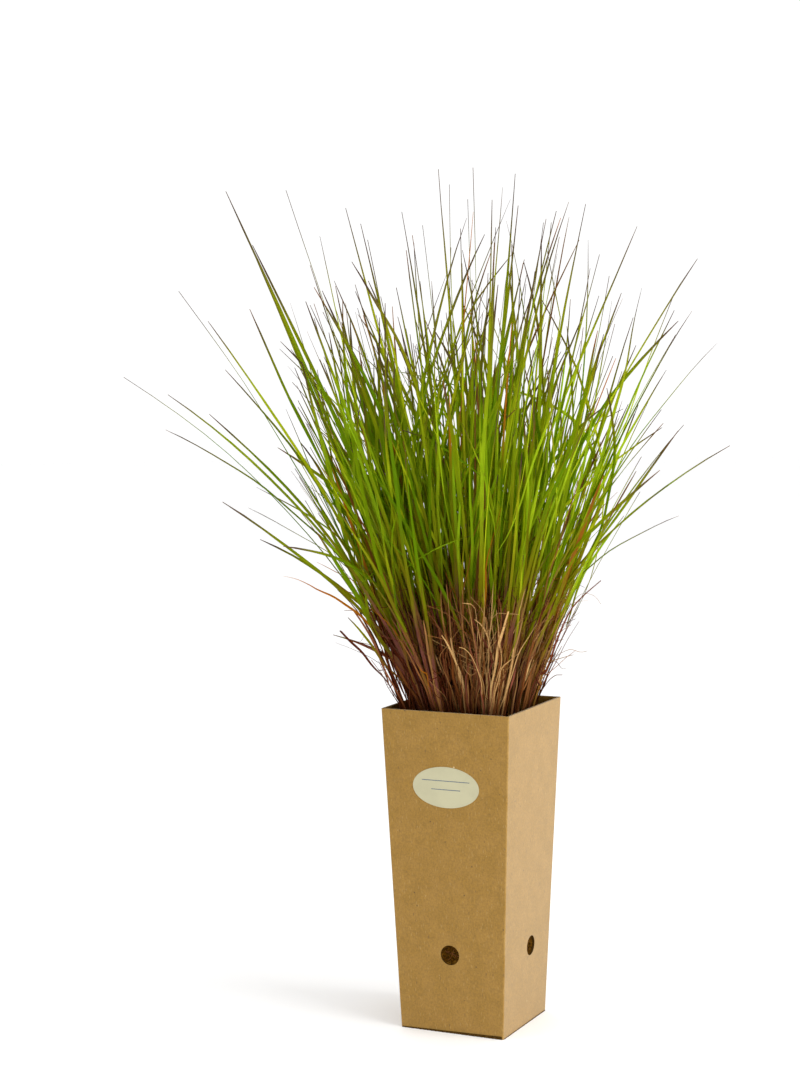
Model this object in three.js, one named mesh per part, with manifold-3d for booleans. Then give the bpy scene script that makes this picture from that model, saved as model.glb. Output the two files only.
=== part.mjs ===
// A clump of prairie grass in a tall, tapered carton pot, in millimetres, +Z up.
// The origin is the middle of the pot's underside. The front face, with the label, looks along -Y.
import * as THREE from "three";
import { mergeVertices } from "three/addons/utils/BufferGeometryUtils.js";
import Module from "manifold-3d";

const wasm = await Module();
wasm.setup();

// The pot: one sheet of thin corrugated board, folded to a tapered square box.
const POT_TOP = 110;
const POT_FOOT = 89;
const POT_HEIGHT = 260;
const BOARD = 1.8;
const FLOOR = 2 * BOARD;
const CORNER_RADIUS = 1.6;
const CORNER_STEPS = 2;
const HOLE_DIAMETER = 16;
const HOLE_HEIGHT = 64;
const HOLE_SIDES = 16;
const SIDE_HOLE_SHIFT = 7;
const FLAP_EDGE = 18;
const FLAP_GAP = 0.8;

// The label: an oval paper sticker on the front face.
const LABEL_WIDTH = 57;
const LABEL_HEIGHT = 33;
const LABEL_MIDDLE = 200;
const LABEL_THICK = 0.4;
const LABEL_SIDES = 24;

// The soil fills the pot to a little under the rim. Its top swells in slow waves.
const GAP = 0.3;
const SOIL_TOP = POT_HEIGHT - 9;
const SOIL_STEPS = 5;
const SOIL_SWELL = 1.2;
const SOIL_WAVE = { x: 0.09, y: 0.08, startX: 1, startY: -0.6 };

// The crowns stand in the soil in a rounded square, in the order of a sunflower's seeds.
const CROWNS = 56;
const STAND = 43;
const SQUARENESS = 0.7;
const CROWN_RADIUS = 4.3;
const CROWN_DEPTH = 12;
const CROWN_RISE = 4.5;
const CROWN_SIDES = 6;
const ROOT_DEPTH = 2;
const GOLDEN_ANGLE = Math.PI * (3 - Math.sqrt(5));

// Which crowns are last year's dead growth: some round the edge, and more at the front right.
const THATCH_FROM = 14;
const THATCH_EVERY = 6;
const THATCH_SIDE = -0.55;
const THATCH_HALF_ANGLE = 0.85;

// The blades of a crown. Each kind has its count, how far out from the crown's middle it roots, and its
// widths and keels at shares of its length. Pairs are the least and the most of a random draw, except that
// spread, how far a tip strays as a slope, and loss, how much of its length a blade gives up, are for the
// first try and for the last.
const LEADER = {
  count: 2,
  ring: 1.8,
  times: [0, 0.16, 0.38, 0.6, 0.82, 1],
  widths: [3.2, 3.8, 3.0, 2.6, 1.7, 0],
  keels: [2.4, 2.2, 1.2, 0.8, 0.7, 0],
  length: [290, 440],
  spread: [0.2, 0.4],
  bow: [0.36, 0.5],
  breadth: [0.9, 1.1],
  twist: 0.3,
  nudge: 60,
};
const LEAF = {
  count: 7,
  ring: 3.3,
  times: [0, 0.3, 0.65, 1],
  widths: [1.6, 2.6, 2.0, 0],
  keels: [1.2, 0.9, 0.8, 0],
  length: [220, 450],
  loss: [0, 0.5],
  spread: [0.1, 0.22],
  fan: 1.15,
  flare: 0.04,
  part: [0.03, 0.25],
  bow: [0.35, 0.5],
  breadth: [0.8, 1.2],
  twist: 0.3,
};
const STUB = {
  count: 7,
  ring: 3.1,
  times: [0, 0.5, 0.82, 1],
  widths: [1.7, 3.2, 2.6, 1.6],
  keels: [1.2, 1.4, 1.0, 0.8],
  length: [45, 115],
  loss: [0, 0.5],
  spread: [0.1, 0.5],
  flare: 0.12,
  bow: 0.6,
  breadth: [0.7, 1.2],
  bentShare: 0.35,
  bent: 14,
  straight: 3,
};

// How far the blades lean out at the edge of the stand, at their roots and at their tips, and how far the
// whole clump leans to one side. A free blade is shorter the more it leans.
const STEM_SLOPE = 0.3;
const TIP_SLOPE = 0.38;
const CLUMP_LEAN = [-0.06, -0.03];
const LEAN_LOSS = 0.65;

// The long leaves that give the clump its outline: across and up from the middle of the rim, seen with
// the pot turned by VIEW_TURN, and towards the eye.
const VIEW_TURN = THREE.MathUtils.degToRad(23.8);
const OUTLINE = [
  [-274, 264, 20],
  [-257, 220, -40],
  [-228, 331, 30],
  [-205, 268, -90],
  [-202, 307, 60],
  [-201, 236, 70],
  [-195, 166, 40],
  [-194, 411, -10],
  [-184, 381, -60],
  [-170, 132, -20],
  [-164, 364, 90],
  [-146, 236, -110],
  [-142, 408, 40],
  [-130, 353, -50],
  [-110, 60, 30],
  [-98, 396, 0],
  [-83, 380, 70],
  [-43, 370, 90],
  [-24, 425, 10],
  [-16, 417, -50],
  [3, 423, 50],
  [22, 384, -90],
  [37, 423, -20],
  [56, 379, 80],
  [67, 386, -60],
  [91, 396, 20],
  [105, 359, -40],
  [125, 307, 60],
  [163, 325, -20],
  [173, 312, 30],
  [196, 287, 0],
  [145, 237, 80],
  [175, 220, -60],
  [205, 206, 10],
  [163, 152, 30],
  [20, 330, 190],
  [-60, 270, 230],
  [90, 250, 210],
  [-120, 320, 150],
  [-20, 350, -190],
  [60, 280, -220],
  [-110, 260, -200],
  [130, 330, -150],
];

// How far along its first slope a leader is taken to reach, as a share of the rise, when it is matched.
const OUTLINE_REACH = 1.2;

// Blades of different crowns keep clear of each other, by trying again with other random draws.
const TRIES = 120;
const CLEARANCE = 0.3;
const FIRST_SEED = { crown: 9000, leader: 1000, stub: 2000, leaf: 3000 };

// Even random numbers from 0 to 1, the same ones each time for the same seed.
function randomFrom(seed) {
  let state = seed >>> 0;
  return () => {
    state = (state + 0x6d2b79f5) >>> 0;
    let mixed = Math.imul(state ^ (state >>> 15), state | 1);
    mixed ^= mixed + Math.imul(mixed ^ (mixed >>> 7), mixed | 61);
    return ((mixed ^ (mixed >>> 14)) >>> 0) / 4294967296;
  };
}

// A random number from -1 to 1 that is most often near 0.
function sway(random) {
  return random() + random() - 1;
}

// The number that lies a share of the way from one to another.
function between([from, to], share) {
  return from + (to - from) * share;
}

// Solids and geometries.
function solidOf(geometry) {
  const bare = geometry.index ? geometry.toNonIndexed() : geometry.clone();
  for (const name of Object.keys(bare.attributes)) {
    if (name !== "position") bare.deleteAttribute(name);
  }
  const merged = mergeVertices(bare, 1e-4);
  const mesh = new wasm.Mesh({
    numProp: 3,
    vertProperties: new Float32Array(merged.attributes.position.array),
    triVerts: new Uint32Array(merged.index.array),
  });
  return new wasm.Manifold(mesh);
}

function geometryOf(solid) {
  const mesh = solid.getMesh();
  const geometry = new THREE.BufferGeometry();
  geometry.setAttribute("position", new THREE.BufferAttribute(mesh.vertProperties, 3));
  geometry.setIndex(new THREE.BufferAttribute(mesh.triVerts, 1));
  geometry.computeVertexNormals();
  return geometry;
}

function meshOf(name, solid, material) {
  const mesh = new THREE.Mesh(geometryOf(solid), material);
  mesh.name = name;
  return mesh;
}

// Half the pot's outer width at a height.
function potHalf(z) {
  return POT_FOOT / 2 + ((POT_TOP - POT_FOOT) / 2) * (z / POT_HEIGHT);
}

// A rounded square prism from one height to another, tapered with the pot and held in by an inset.
function taperedBlock(from, to, inset, radius) {
  const square = new THREE.Shape();
  const half = 1 - radius;
  for (let corner = 0; corner < 4; corner += 1) {
    const start = (corner * Math.PI) / 2;
    const across = corner === 0 || corner === 3 ? half : -half;
    const up = corner < 2 ? half : -half;
    square.absarc(across, up, radius, start, start + Math.PI / 2);
  }
  const block = new THREE.ExtrudeGeometry(square, {
    depth: to - from,
    steps: 1,
    curveSegments: CORNER_STEPS,
    bevelEnabled: false,
  });
  const place = block.attributes.position;
  for (let i = 0; i < place.count; i += 1) {
    const z = place.getZ(i) + from;
    const size = potHalf(z) - inset;
    place.setXYZ(i, place.getX(i) * size, place.getY(i) * size, z);
  }
  return block;
}

function makePot() {
  const cornerShare = CORNER_RADIUS / (POT_TOP / 2);
  const outside = solidOf(taperedBlock(0, POT_HEIGHT, 0, cornerShare));
  const inside = solidOf(taperedBlock(FLOOR, POT_HEIGHT + 1, BOARD, cornerShare / 3));
  let pot = outside.subtract(inside);
  const bore = new THREE.CylinderGeometry(HOLE_DIAMETER / 2, HOLE_DIAMETER / 2, 2 * POT_TOP, HOLE_SIDES);
  const frontToBack = bore.clone().translate(0, 0, HOLE_HEIGHT);
  const leftToRight = bore.clone().rotateZ(Math.PI / 2).translate(0, SIDE_HOLE_SHIFT, HOLE_HEIGHT);
  pot = pot.subtract(solidOf(frontToBack)).subtract(solidOf(leftToRight));
  const slit = new THREE.BoxGeometry(POT_FOOT - 2 * CORNER_RADIUS, FLAP_GAP, 2 * BOARD);
  slit.translate(0, FLAP_EDGE, 0);
  return pot.subtract(solidOf(slit));
}

function makeLabel() {
  const oval = new THREE.Shape();
  oval.absellipse(0, 0, LABEL_WIDTH / 2, LABEL_HEIGHT / 2, 0, 2 * Math.PI);
  const label = new THREE.ExtrudeGeometry(oval, {
    depth: LABEL_THICK,
    steps: 1,
    curveSegments: LABEL_SIDES / 2,
    bevelEnabled: false,
  });
  const lean = Math.atan((POT_TOP - POT_FOOT) / 2 / POT_HEIGHT);
  label.rotateX(Math.PI / 2 + lean);
  label.translate(0, -potHalf(LABEL_MIDDLE) - GAP, LABEL_MIDDLE);
  return solidOf(label);
}

// The soil, with a gently uneven top and a plain hole for each crown.
function makeSoil(crowns) {
  const foot = FLOOR + GAP;
  const block = new THREE.BoxGeometry(2, 2, SOIL_TOP - foot, SOIL_STEPS, SOIL_STEPS, 1);
  const place = block.attributes.position;
  for (let i = 0; i < place.count; i += 1) {
    const onTop = place.getZ(i) > 0;
    const z = onTop ? SOIL_TOP : foot;
    const size = potHalf(z) - BOARD - GAP;
    const x = place.getX(i) * size;
    const y = place.getY(i) * size;
    const wave = Math.sin(SOIL_WAVE.x * x + SOIL_WAVE.startX) * Math.cos(SOIL_WAVE.y * y + SOIL_WAVE.startY);
    place.setXYZ(i, x, y, onTop ? z + SOIL_SWELL * wave : z);
  }
  let soil = solidOf(block);
  for (const crown of crowns) soil = soil.subtract(solidOf(crownGeometry(crown, GAP)));
  return soil;
}

// A crown, which stands a little out of the soil. With room, it is the hole that it stands in.
function crownGeometry([x, y], room) {
  const round = new THREE.Shape();
  round.absarc(x, y, CROWN_RADIUS + room, 0, 2 * Math.PI);
  const crown = new THREE.ExtrudeGeometry(round, {
    depth: CROWN_DEPTH + CROWN_RISE + room,
    steps: 1,
    curveSegments: CROWN_SIDES / 2,
    bevelEnabled: false,
  });
  return crown.translate(0, 0, SOIL_TOP - CROWN_DEPTH - room);
}

// The shortest distance between two straight stretches.
function clampShare(share) {
  return Math.min(1, Math.max(0, share));
}

function gapBetween(a, b) {
  const along = a.reach.dot(b.reach);
  const between = a.from.clone().sub(b.from);
  const ahead = a.reach.dot(between);
  const beside = b.reach.dot(between);
  const spread = a.square * b.square - along * along;
  let s = spread > 1e-9 ? clampShare((along * beside - ahead * b.square) / spread) : 0;
  let t = (along * s + beside) / b.square;
  if (t < 0) {
    t = 0;
    s = clampShare(-ahead / a.square);
  } else if (t > 1) {
    t = 1;
    s = clampShare((along - ahead) / a.square);
  }
  return between.addScaledVector(a.reach, s).addScaledVector(b.reach, -t).length();
}

// The straight stretches of a blade, each with the radius that it fills. The first is its root.
function stretchesOf(points, widths, owner) {
  const stretches = [];
  for (let i = 0; i + 1 < points.length; i += 1) {
    const reach = points[i + 1].clone().sub(points[i]);
    const middle = points[i].clone().addScaledVector(reach, 0.5);
    const radius = Math.max(widths[i], widths[i + 1]) / 2;
    const root = i === 0;
    stretches.push({ from: points[i], reach, square: reach.lengthSq(), middle, radius, owner, root });
  }
  return stretches;
}

// A blade meets its own tuft only at their roots, and nothing else at all.
function isClear(stretches, placed) {
  return stretches.every((mine) =>
    placed.every((other) => {
      if (mine.root && other.root && other.owner === mine.owner) return true;
      const room = mine.radius + other.radius + CLEARANCE;
      const halves = (Math.sqrt(mine.square) + Math.sqrt(other.square)) / 2 + room;
      if (mine.middle.distanceToSquared(other.middle) > halves * halves) return true;
      return gapBetween(mine, other) > room;
    }),
  );
}

// The point that lies a length away along a slope.
function pointAlong(start, slope, length) {
  const way = new THREE.Vector3(slope[0], slope[1], 1).normalize();
  return start.clone().addScaledVector(way, length);
}

// A curve that leaves its start along a slope and bows out to its tip.
function bowTo(start, slope, tip, stiffness) {
  const bend = pointAlong(start, slope, stiffness * start.distanceTo(tip));
  return new THREE.QuadraticBezierCurve3(start, bend, tip);
}

// A blade along a curve, tried with other random draws until it is clear of the blades before it. What
// proposes the curve is told how far the tries have come, from 0 to 1.
function placeBlade(placed, form, owner, seed, propose) {
  for (let attempt = 0; attempt < TRIES; attempt += 1) {
    const random = randomFrom(seed * TRIES + attempt);
    const { curve, breadth, twist } = propose(random, attempt / TRIES);
    const points = form.times.map((time) => curve.getPoint(time));
    const widths = form.widths.map((width) => width * breadth);
    const stretches = stretchesOf(points, widths, owner);
    if (isClear(stretches, placed)) {
      placed.push(...stretches);
      return { curve, points, widths, twist, form };
    }
  }
  return null;
}

// Where the crowns stand, and which of them are dead.
function crownPlaces() {
  return Array.from({ length: CROWNS }, (_, i) => {
    const angle = i * GOLDEN_ANGLE;
    const out = Math.sqrt((i + 0.5) / CROWNS);
    const square = Math.max(Math.abs(Math.cos(angle)), Math.abs(Math.sin(angle))) ** -SQUARENESS;
    return [STAND * out * square * Math.cos(angle), STAND * out * square * Math.sin(angle)];
  });
}

function isThatch([x, y], i) {
  if (i < THATCH_FROM) return false;
  const turn = Math.atan2(y, x) - THATCH_SIDE;
  const off = Math.abs(Math.atan2(Math.sin(turn), Math.cos(turn)));
  return i % THATCH_EVERY === 0 || (off < THATCH_HALF_ANGLE && i % 2 === 0);
}

// The roots of one kind of blade, evenly round a crown: the start, the way out and the slope of each.
function rootsOf(crown, owner, form, firstTurn) {
  return Array.from({ length: form.count }, (_, i) => {
    const turn = firstTurn + (i * 2 * Math.PI) / form.count;
    const out = [Math.cos(turn), Math.sin(turn)];
    const x = crown[0] + form.ring * out[0];
    const y = crown[1] + form.ring * out[1];
    const start = new THREE.Vector3(x, y, SOIL_TOP + CROWN_RISE - ROOT_DEPTH);
    const fan = [x / STAND, y / STAND];
    const slope = fan.map((part, side) => STEM_SLOPE * part + CLUMP_LEAN[side]);
    return { owner, start, turn, out, fan, slope, tip: null };
  });
}

// Each long leaf of the outline goes to the free leader that leans its way the most nearly. Those leaders
// come first in the list that this gives back.
function shareOutline(leaders) {
  const chosen = [];
  for (const [across, up, toward] of OUTLINE) {
    const x = across * Math.cos(VIEW_TURN) + toward * Math.sin(VIEW_TURN);
    const y = across * Math.sin(VIEW_TURN) - toward * Math.cos(VIEW_TURN);
    const reach = OUTLINE_REACH * (POT_HEIGHT + up - SOIL_TOP);
    const miss = ({ start, slope }) =>
      Math.hypot(start.x + slope[0] * reach - x, start.y + slope[1] * reach - y);
    const free = leaders.filter((leader) => !leader.tip);
    const best = free.reduce((a, b) => (miss(b) < miss(a) ? b : a));
    best.tip = new THREE.Vector3(x, y, POT_HEIGHT + up);
    chosen.push(best);
  }
  return [...chosen, ...leaders.filter((leader) => !leader.tip)];
}

function shortening(lean) {
  return 1 - LEAN_LOSS * Math.hypot(lean[0], lean[1]);
}

// A leader: a flattened shoot, and the long leaf that goes on from it.
function growLeader(root, placed, seed) {
  return placeBlade(placed, LEADER, root.owner, seed, (random, ease) => {
    const spread = between(LEADER.spread, ease);
    const lean = root.fan.map((part, side) => TIP_SLOPE * part + CLUMP_LEAN[side] + spread * sway(random));
    const free = pointAlong(root.start, lean, between(LEADER.length, random()) * shortening(lean));
    const nudge = new THREE.Vector3(sway(random), sway(random), sway(random));
    const tip = root.tip ? root.tip.clone().addScaledVector(nudge, LEADER.nudge * ease) : free;
    return {
      curve: bowTo(root.start, root.slope, tip, between(LEADER.bow, random())),
      breadth: between(LEADER.breadth, random()),
      twist: root.turn + Math.PI / 2 + LEADER.twist * sway(random),
    };
  });
}

// A thinner leaf, which leans away from the middle of its crown.
function growLeaf(root, placed, seed) {
  return placeBlade(placed, LEAF, root.owner, seed, (random, ease) => {
    const part = between(LEAF.part, random());
    const spread = between(LEAF.spread, ease);
    const first = root.slope.map((slope, side) => slope + LEAF.flare * root.out[side]);
    const lean = root.slope.map(
      (slope, side) => LEAF.fan * slope + part * root.out[side] + spread * sway(random),
    );
    const length = between(LEAF.length, random()) * (1 - between(LEAF.loss, ease)) * shortening(lean);
    const tip = pointAlong(root.start, lean, length);
    return {
      curve: bowTo(root.start, first, tip, between(LEAF.bow, random())),
      breadth: between(LEAF.breadth, random()),
      twist: root.turn + Math.PI / 2 + LEAF.twist * sway(random),
    };
  });
}

// A dead stub: short, blunt, and often bent over near its end.
function growStub(root, placed, seed) {
  return placeBlade(placed, STUB, root.owner, seed, (random, ease) => {
    const spread = between(STUB.spread, ease);
    const first = root.slope.map((slope, side) => slope + STUB.flare * root.out[side]);
    const lean = first.map((part) => part + spread * sway(random));
    const length = between(STUB.length, random()) * (1 - between(STUB.loss, ease));
    const tip = pointAlong(root.start, lean, length);
    const bent = random() < STUB.bentShare ? STUB.bent : STUB.straight;
    tip.add(new THREE.Vector3(bent * sway(random), bent * sway(random), 0));
    return {
      curve: bowTo(root.start, first, tip, STUB.bow),
      breadth: between(STUB.breadth, random()),
      twist: root.turn + Math.PI / 2,
    };
  });
}

// A keeled ribbon through points: a flat face above and a ridge below, closed at its root.
function ribbon({ points, widths, twist, form }) {
  const corners = [];
  const faces = [];
  const last = points.length - 1;
  const across = new THREE.Vector3(Math.cos(twist), Math.sin(twist), 0);
  const pointed = widths[last] === 0;
  const rings = pointed ? last : last + 1;
  for (let i = 0; i < rings; i += 1) {
    const along = points[Math.min(i + 1, last)].clone().sub(points[Math.max(i - 1, 0)]).normalize();
    const wide = across.clone().addScaledVector(along, -across.dot(along)).normalize();
    const deep = along.clone().cross(wide);
    const half = widths[i] / 2;
    const face = points[i].clone().addScaledVector(deep, -form.keels[i] / 3);
    corners.push(face.clone().addScaledVector(wide, -half));
    corners.push(face.clone().addScaledVector(wide, half));
    corners.push(face.addScaledVector(deep, form.keels[i]));
  }
  for (let i = 0; i + 1 < rings; i += 1) {
    for (let side = 0; side < 3; side += 1) {
      const a = 3 * i + side;
      const b = 3 * i + ((side + 1) % 3);
      faces.push(a, b, b + 3, a, b + 3, a + 3);
    }
  }
  faces.push(0, 2, 1);
  const end = 3 * (rings - 1);
  if (pointed) {
    corners.push(points[last]);
    for (let side = 0; side < 3; side += 1) faces.push(end + side, end + ((side + 1) % 3), end + 3);
  } else {
    faces.push(end, end + 1, end + 2);
  }
  const geometry = new THREE.BufferGeometry().setFromPoints(corners);
  geometry.setIndex(faces);
  return geometry;
}

// The whole clump: the leaders of the outline first, then the others, the dead stubs and the leaves.
function growClump() {
  const tufts = [];
  const thatch = [];
  const leaders = [];
  const leaves = [];
  const stubs = [];
  crownPlaces().forEach((crown, i) => {
    const turn = randomFrom(FIRST_SEED.crown + i)() * 2 * Math.PI;
    if (isThatch(crown, i)) {
      thatch.push({ crown, owner: i });
      stubs.push(...rootsOf(crown, i, STUB, turn));
    } else {
      tufts.push({ crown, owner: i });
      leaders.push(...rootsOf(crown, i, LEADER, turn));
      leaves.push(...rootsOf(crown, i, LEAF, turn + Math.PI / LEAF.count));
    }
  });
  const placed = [];
  const blades = [];
  const grow = (roots, growOne, firstSeed) =>
    roots.forEach((root, i) => {
      const blade = growOne(root, placed, firstSeed + i);
      if (blade) blades.push({ ...blade, owner: root.owner });
    });
  grow(shareOutline(leaders), growLeader, FIRST_SEED.leader);
  grow(stubs, growStub, FIRST_SEED.stub);
  grow(leaves, growLeaf, FIRST_SEED.leaf);
  return { tufts, thatch, blades };
}

// A crown with all its blades, as one solid.
function bunchSolid({ crown, owner }, blades) {
  return blades
    .filter((blade) => blade.owner === owner)
    .reduce((solid, blade) => solid.add(solidOf(ribbon(blade))), solidOf(crownGeometry(crown, 0)));
}

// The finishes.
const kraftBoard = new THREE.MeshStandardMaterial({ color: 0xb8925a, roughness: 0.9, metalness: 0 });
const labelPaper = new THREE.MeshStandardMaterial({ color: 0xdcd9b8, roughness: 0.7, metalness: 0 });
const pottingMix = new THREE.MeshStandardMaterial({ color: 0x3a2616, roughness: 1, metalness: 0 });
const greenLeaf = new THREE.MeshStandardMaterial({ color: 0x6f9a1f, roughness: 0.55, metalness: 0 });
const strawLeaf = new THREE.MeshStandardMaterial({ color: 0x9c7148, roughness: 0.85, metalness: 0 });

const plant = new THREE.Group();
const clump = growClump();
plant.add(meshOf("pot", makePot(), kraftBoard));
plant.add(meshOf("label", makeLabel(), labelPaper));
plant.add(meshOf("soil", makeSoil(crownPlaces()), pottingMix));
clump.tufts.forEach((tuft, i) => {
  plant.add(meshOf(`tuft_${String(i + 1).padStart(2, "0")}`, bunchSolid(tuft, clump.blades), greenLeaf));
});
clump.thatch.forEach((bunch, i) => {
  plant.add(meshOf(`thatch_${String(i + 1).padStart(2, "0")}`, bunchSolid(bunch, clump.blades), strawLeaf));
});

export default plant;
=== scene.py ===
"""A potted clump of prairie grass in a tapered carton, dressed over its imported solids.

Lengths in the growing rule are millimetres, as in the part's source. All else is metres.
"""

import functools
import math
from contextlib import contextmanager
from dataclasses import dataclass

import bmesh
import bpy
import numpy as np
from bpy.props import FloatProperty, FloatVectorProperty, IntProperty, PointerProperty
from mathutils import Matrix, Vector


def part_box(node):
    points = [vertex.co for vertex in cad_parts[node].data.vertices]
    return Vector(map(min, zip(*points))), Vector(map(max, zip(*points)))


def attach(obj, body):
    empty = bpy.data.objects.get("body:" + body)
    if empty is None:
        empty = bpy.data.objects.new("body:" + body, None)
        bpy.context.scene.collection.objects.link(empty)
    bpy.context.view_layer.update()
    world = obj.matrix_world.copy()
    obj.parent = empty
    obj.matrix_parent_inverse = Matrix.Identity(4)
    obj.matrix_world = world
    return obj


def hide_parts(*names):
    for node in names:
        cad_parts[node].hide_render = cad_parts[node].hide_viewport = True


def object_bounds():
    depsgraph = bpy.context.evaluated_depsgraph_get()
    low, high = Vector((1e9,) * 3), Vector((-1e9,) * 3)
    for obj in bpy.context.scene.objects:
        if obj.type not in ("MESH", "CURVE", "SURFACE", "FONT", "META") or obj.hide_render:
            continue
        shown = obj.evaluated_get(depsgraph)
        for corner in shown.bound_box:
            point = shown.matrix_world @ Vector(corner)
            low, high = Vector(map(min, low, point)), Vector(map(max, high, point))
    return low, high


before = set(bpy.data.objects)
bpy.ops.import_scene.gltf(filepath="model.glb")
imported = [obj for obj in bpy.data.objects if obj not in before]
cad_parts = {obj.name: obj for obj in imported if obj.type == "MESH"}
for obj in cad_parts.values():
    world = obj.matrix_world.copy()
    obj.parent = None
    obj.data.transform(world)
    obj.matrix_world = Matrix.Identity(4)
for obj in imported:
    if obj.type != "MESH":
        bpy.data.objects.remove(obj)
CAD_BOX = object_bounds()

bl_info = {
    "name": "Potted prairie grass",
    "version": (1, 0, 0),
    "blender": (4, 5, 0),
    "location": "3D View > Sidebar > Grass",
    "description": "Fine blades, straw, soil and a kraft carton over the packed solids",
    "category": "Object",
}

MM = 0.001
ROOT = "root"

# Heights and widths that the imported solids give.
POT_LOW, POT_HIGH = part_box("pot")
LABEL_LOW, LABEL_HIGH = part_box("label")
SOIL_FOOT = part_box("soil")[0].z
TUFTS = sorted(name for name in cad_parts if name.startswith("tuft_"))
THATCH = sorted(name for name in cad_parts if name.startswith("thatch_"))


def colour(name, description, default):
    """A colour that the user can change."""
    return FloatVectorProperty(
        name=name, description=description, default=(*default, 1), size=4, min=0, max=1, subtype="COLOR"
    )


def length(name, description, default):
    """A length that the user can change, in metres."""
    return FloatProperty(name=name, description=description, default=default, min=0, unit="LENGTH")


def count(name, description, default):
    """A number of parts that the user can change."""
    return IntProperty(name=name, description=description, default=default, min=0)


def power(name, description, default):
    """A light's power that the user can change, in watts."""
    return FloatProperty(name=name, description=description, default=default, min=0, unit="POWER")


class CartonSettings(bpy.types.PropertyGroup):
    """Sizes and colours of the carton."""

    top: length("Width at the rim", "Outer width of the carton at its rim", POT_HIGH.x - POT_LOW.x)
    foot: length("Width at the foot", "Outer width of the carton at its foot", 0.089)
    height: length("Height", "Height of the carton", POT_HIGH.z - POT_LOW.z)
    board: length("Board", "Thickness of the corrugated board", 0.0018)
    fold: length("Fold", "Radius of the upright folds", 0.0011)
    hole: length("Hole", "Diameter of the round hole in each side", 0.016)
    hole_height: length("Hole height", "Height of the holes' middle", 0.064)
    side_shift: length("Side shift", "How far back the holes in the sides are", 0.007)
    pitch: length("Flute pitch", "Distance from one flute of the board to the next", 0.0033)
    kraft: colour("Kraft", "Main colour of the board", (0.28, 0.147, 0.014))
    tan: colour("Tan", "Warmer patches in the board", (0.31, 0.165, 0.022))
    cut: colour("Cut edge", "The board where it is cut", (0.09, 0.045, 0.008))


class StickerSettings(bpy.types.PropertyGroup):
    """Sizes and colours of the oval sticker."""

    width: length("Width", "Width of the sticker", LABEL_HIGH.x - LABEL_LOW.x)
    height: length("Height", "Height of the sticker", 0.033)
    thick: length("Thickness", "How far the sticker stands off the board", 0.0004)
    paper: colour("Paper", "Colour of the sticker", (0.48, 0.45, 0.285))
    ink: colour("Ink", "Colour of the two ruled lines", (0.1, 0.135, 0.17))


class SoilSettings(bpy.types.PropertyGroup):
    """Look of the potting mix."""

    crumbs: count("Crumbs", "Crumbs on top of the soil", 420)
    hole_crumbs: count("Hole crumbs", "Crumbs behind each hole", 70)
    litter: count("Litter", "Bits of straw on the soil", 130)
    dark: colour("Dark", "The soil between its crumbs", (0.02, 0.008, 0.0))
    peat: colour("Peat", "Most of the crumbs", (0.105, 0.04, 0.0))
    bark: colour("Bark", "The palest crumbs", (0.26, 0.125, 0.012))


class GrassSettings(bpy.types.PropertyGroup):
    """Numbers and colours of the living blades."""

    side_leaves: count("Side leaves", "Thin leaves added to a tuft", 10)
    husks: count("Husks", "Old sheaths round the foot of a tuft", 16)
    curls: count("Curls", "Fine dry curls in a tuft", 7)
    dying: count("Dying leaves", "Low leaves that have died", 4)
    bright: colour("Bright green", "Young blades", (0.54, 0.64, 0.014))
    deep: colour("Deep green", "Older blades", (0.182, 0.29, 0.0))
    sheath: colour("Sheath", "Purple-brown foot of a shoot", (0.31, 0.105, 0.075))
    bronze: colour("Bronze", "Brown foot of a shoot", (0.36, 0.18, 0.03))
    olive: colour("Olive", "Blades above their sheaths and towards their tips", (0.27, 0.245, 0.003))
    tip: colour("Tip", "Purple-grey tips", (0.1, 0.05, 0.042))
    rust: colour("Rust", "Blades that have died this year", (0.56, 0.2, 0.008))


class StrawSettings(bpy.types.PropertyGroup):
    """Numbers and colours of last year's growth."""

    scraps: count("Scraps", "Broken straws added to a bunch", 66)
    curls: count("Curls", "Dry curls in a bunch", 34)
    straw: colour("Straw", "Palest dead leaves", (0.53, 0.33, 0.135))
    tan: colour("Tan", "Most of the dead leaves", (0.26, 0.105, 0.03))
    plum: colour("Plum", "Dead sheaths", (0.19, 0.055, 0.034))


class StageSettings(bpy.types.PropertyGroup):
    """The floor, the lights and the camera."""

    floor: colour("Floor", "Colour of the floor", (0.96, 0.96, 0.96))
    sky: FloatProperty(name="Sky", description="Brightness all round", default=1.05, min=0)
    key: power("Key", "Main light", 40)
    fill: power("Fill", "Second light", 1)
    lens: length("Lens", "Focal length of the camera", 0.0776)
    distance: length("Distance", "From the pot's middle to the camera, along the floor", 1.836)
    eye: length("Eye", "Height of the camera", 0.5505)


class GrassScene(bpy.types.PropertyGroup):
    """All the settings of the potted grass."""

    carton: PointerProperty(type=CartonSettings)
    sticker: PointerProperty(type=StickerSettings)
    soil: PointerProperty(type=SoilSettings)
    grass: PointerProperty(type=GrassSettings)
    straw: PointerProperty(type=StrawSettings)
    stage: PointerProperty(type=StageSettings)


# Modelling helpers.
def begin():
    """Leave nothing selected before a new primitive is added."""
    bpy.ops.object.select_all(action="DESELECT")


def take(piece):
    """Select one piece alone and make it active."""
    begin()
    piece.select_set(True)
    bpy.context.view_layer.objects.active = piece


def settle(name):
    """Name the new piece and put its place, turn and size into its mesh."""
    piece = bpy.context.active_object
    piece.name = name
    piece.data.name = name
    take(piece)
    bpy.ops.object.transform_apply(location=True, rotation=True, scale=True)
    return piece


@contextmanager
def edit(piece):
    """Edit mode on one piece."""
    take(piece)
    bpy.ops.object.mode_set(mode="EDIT")
    yield
    bpy.ops.object.mode_set(mode="OBJECT")


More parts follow.
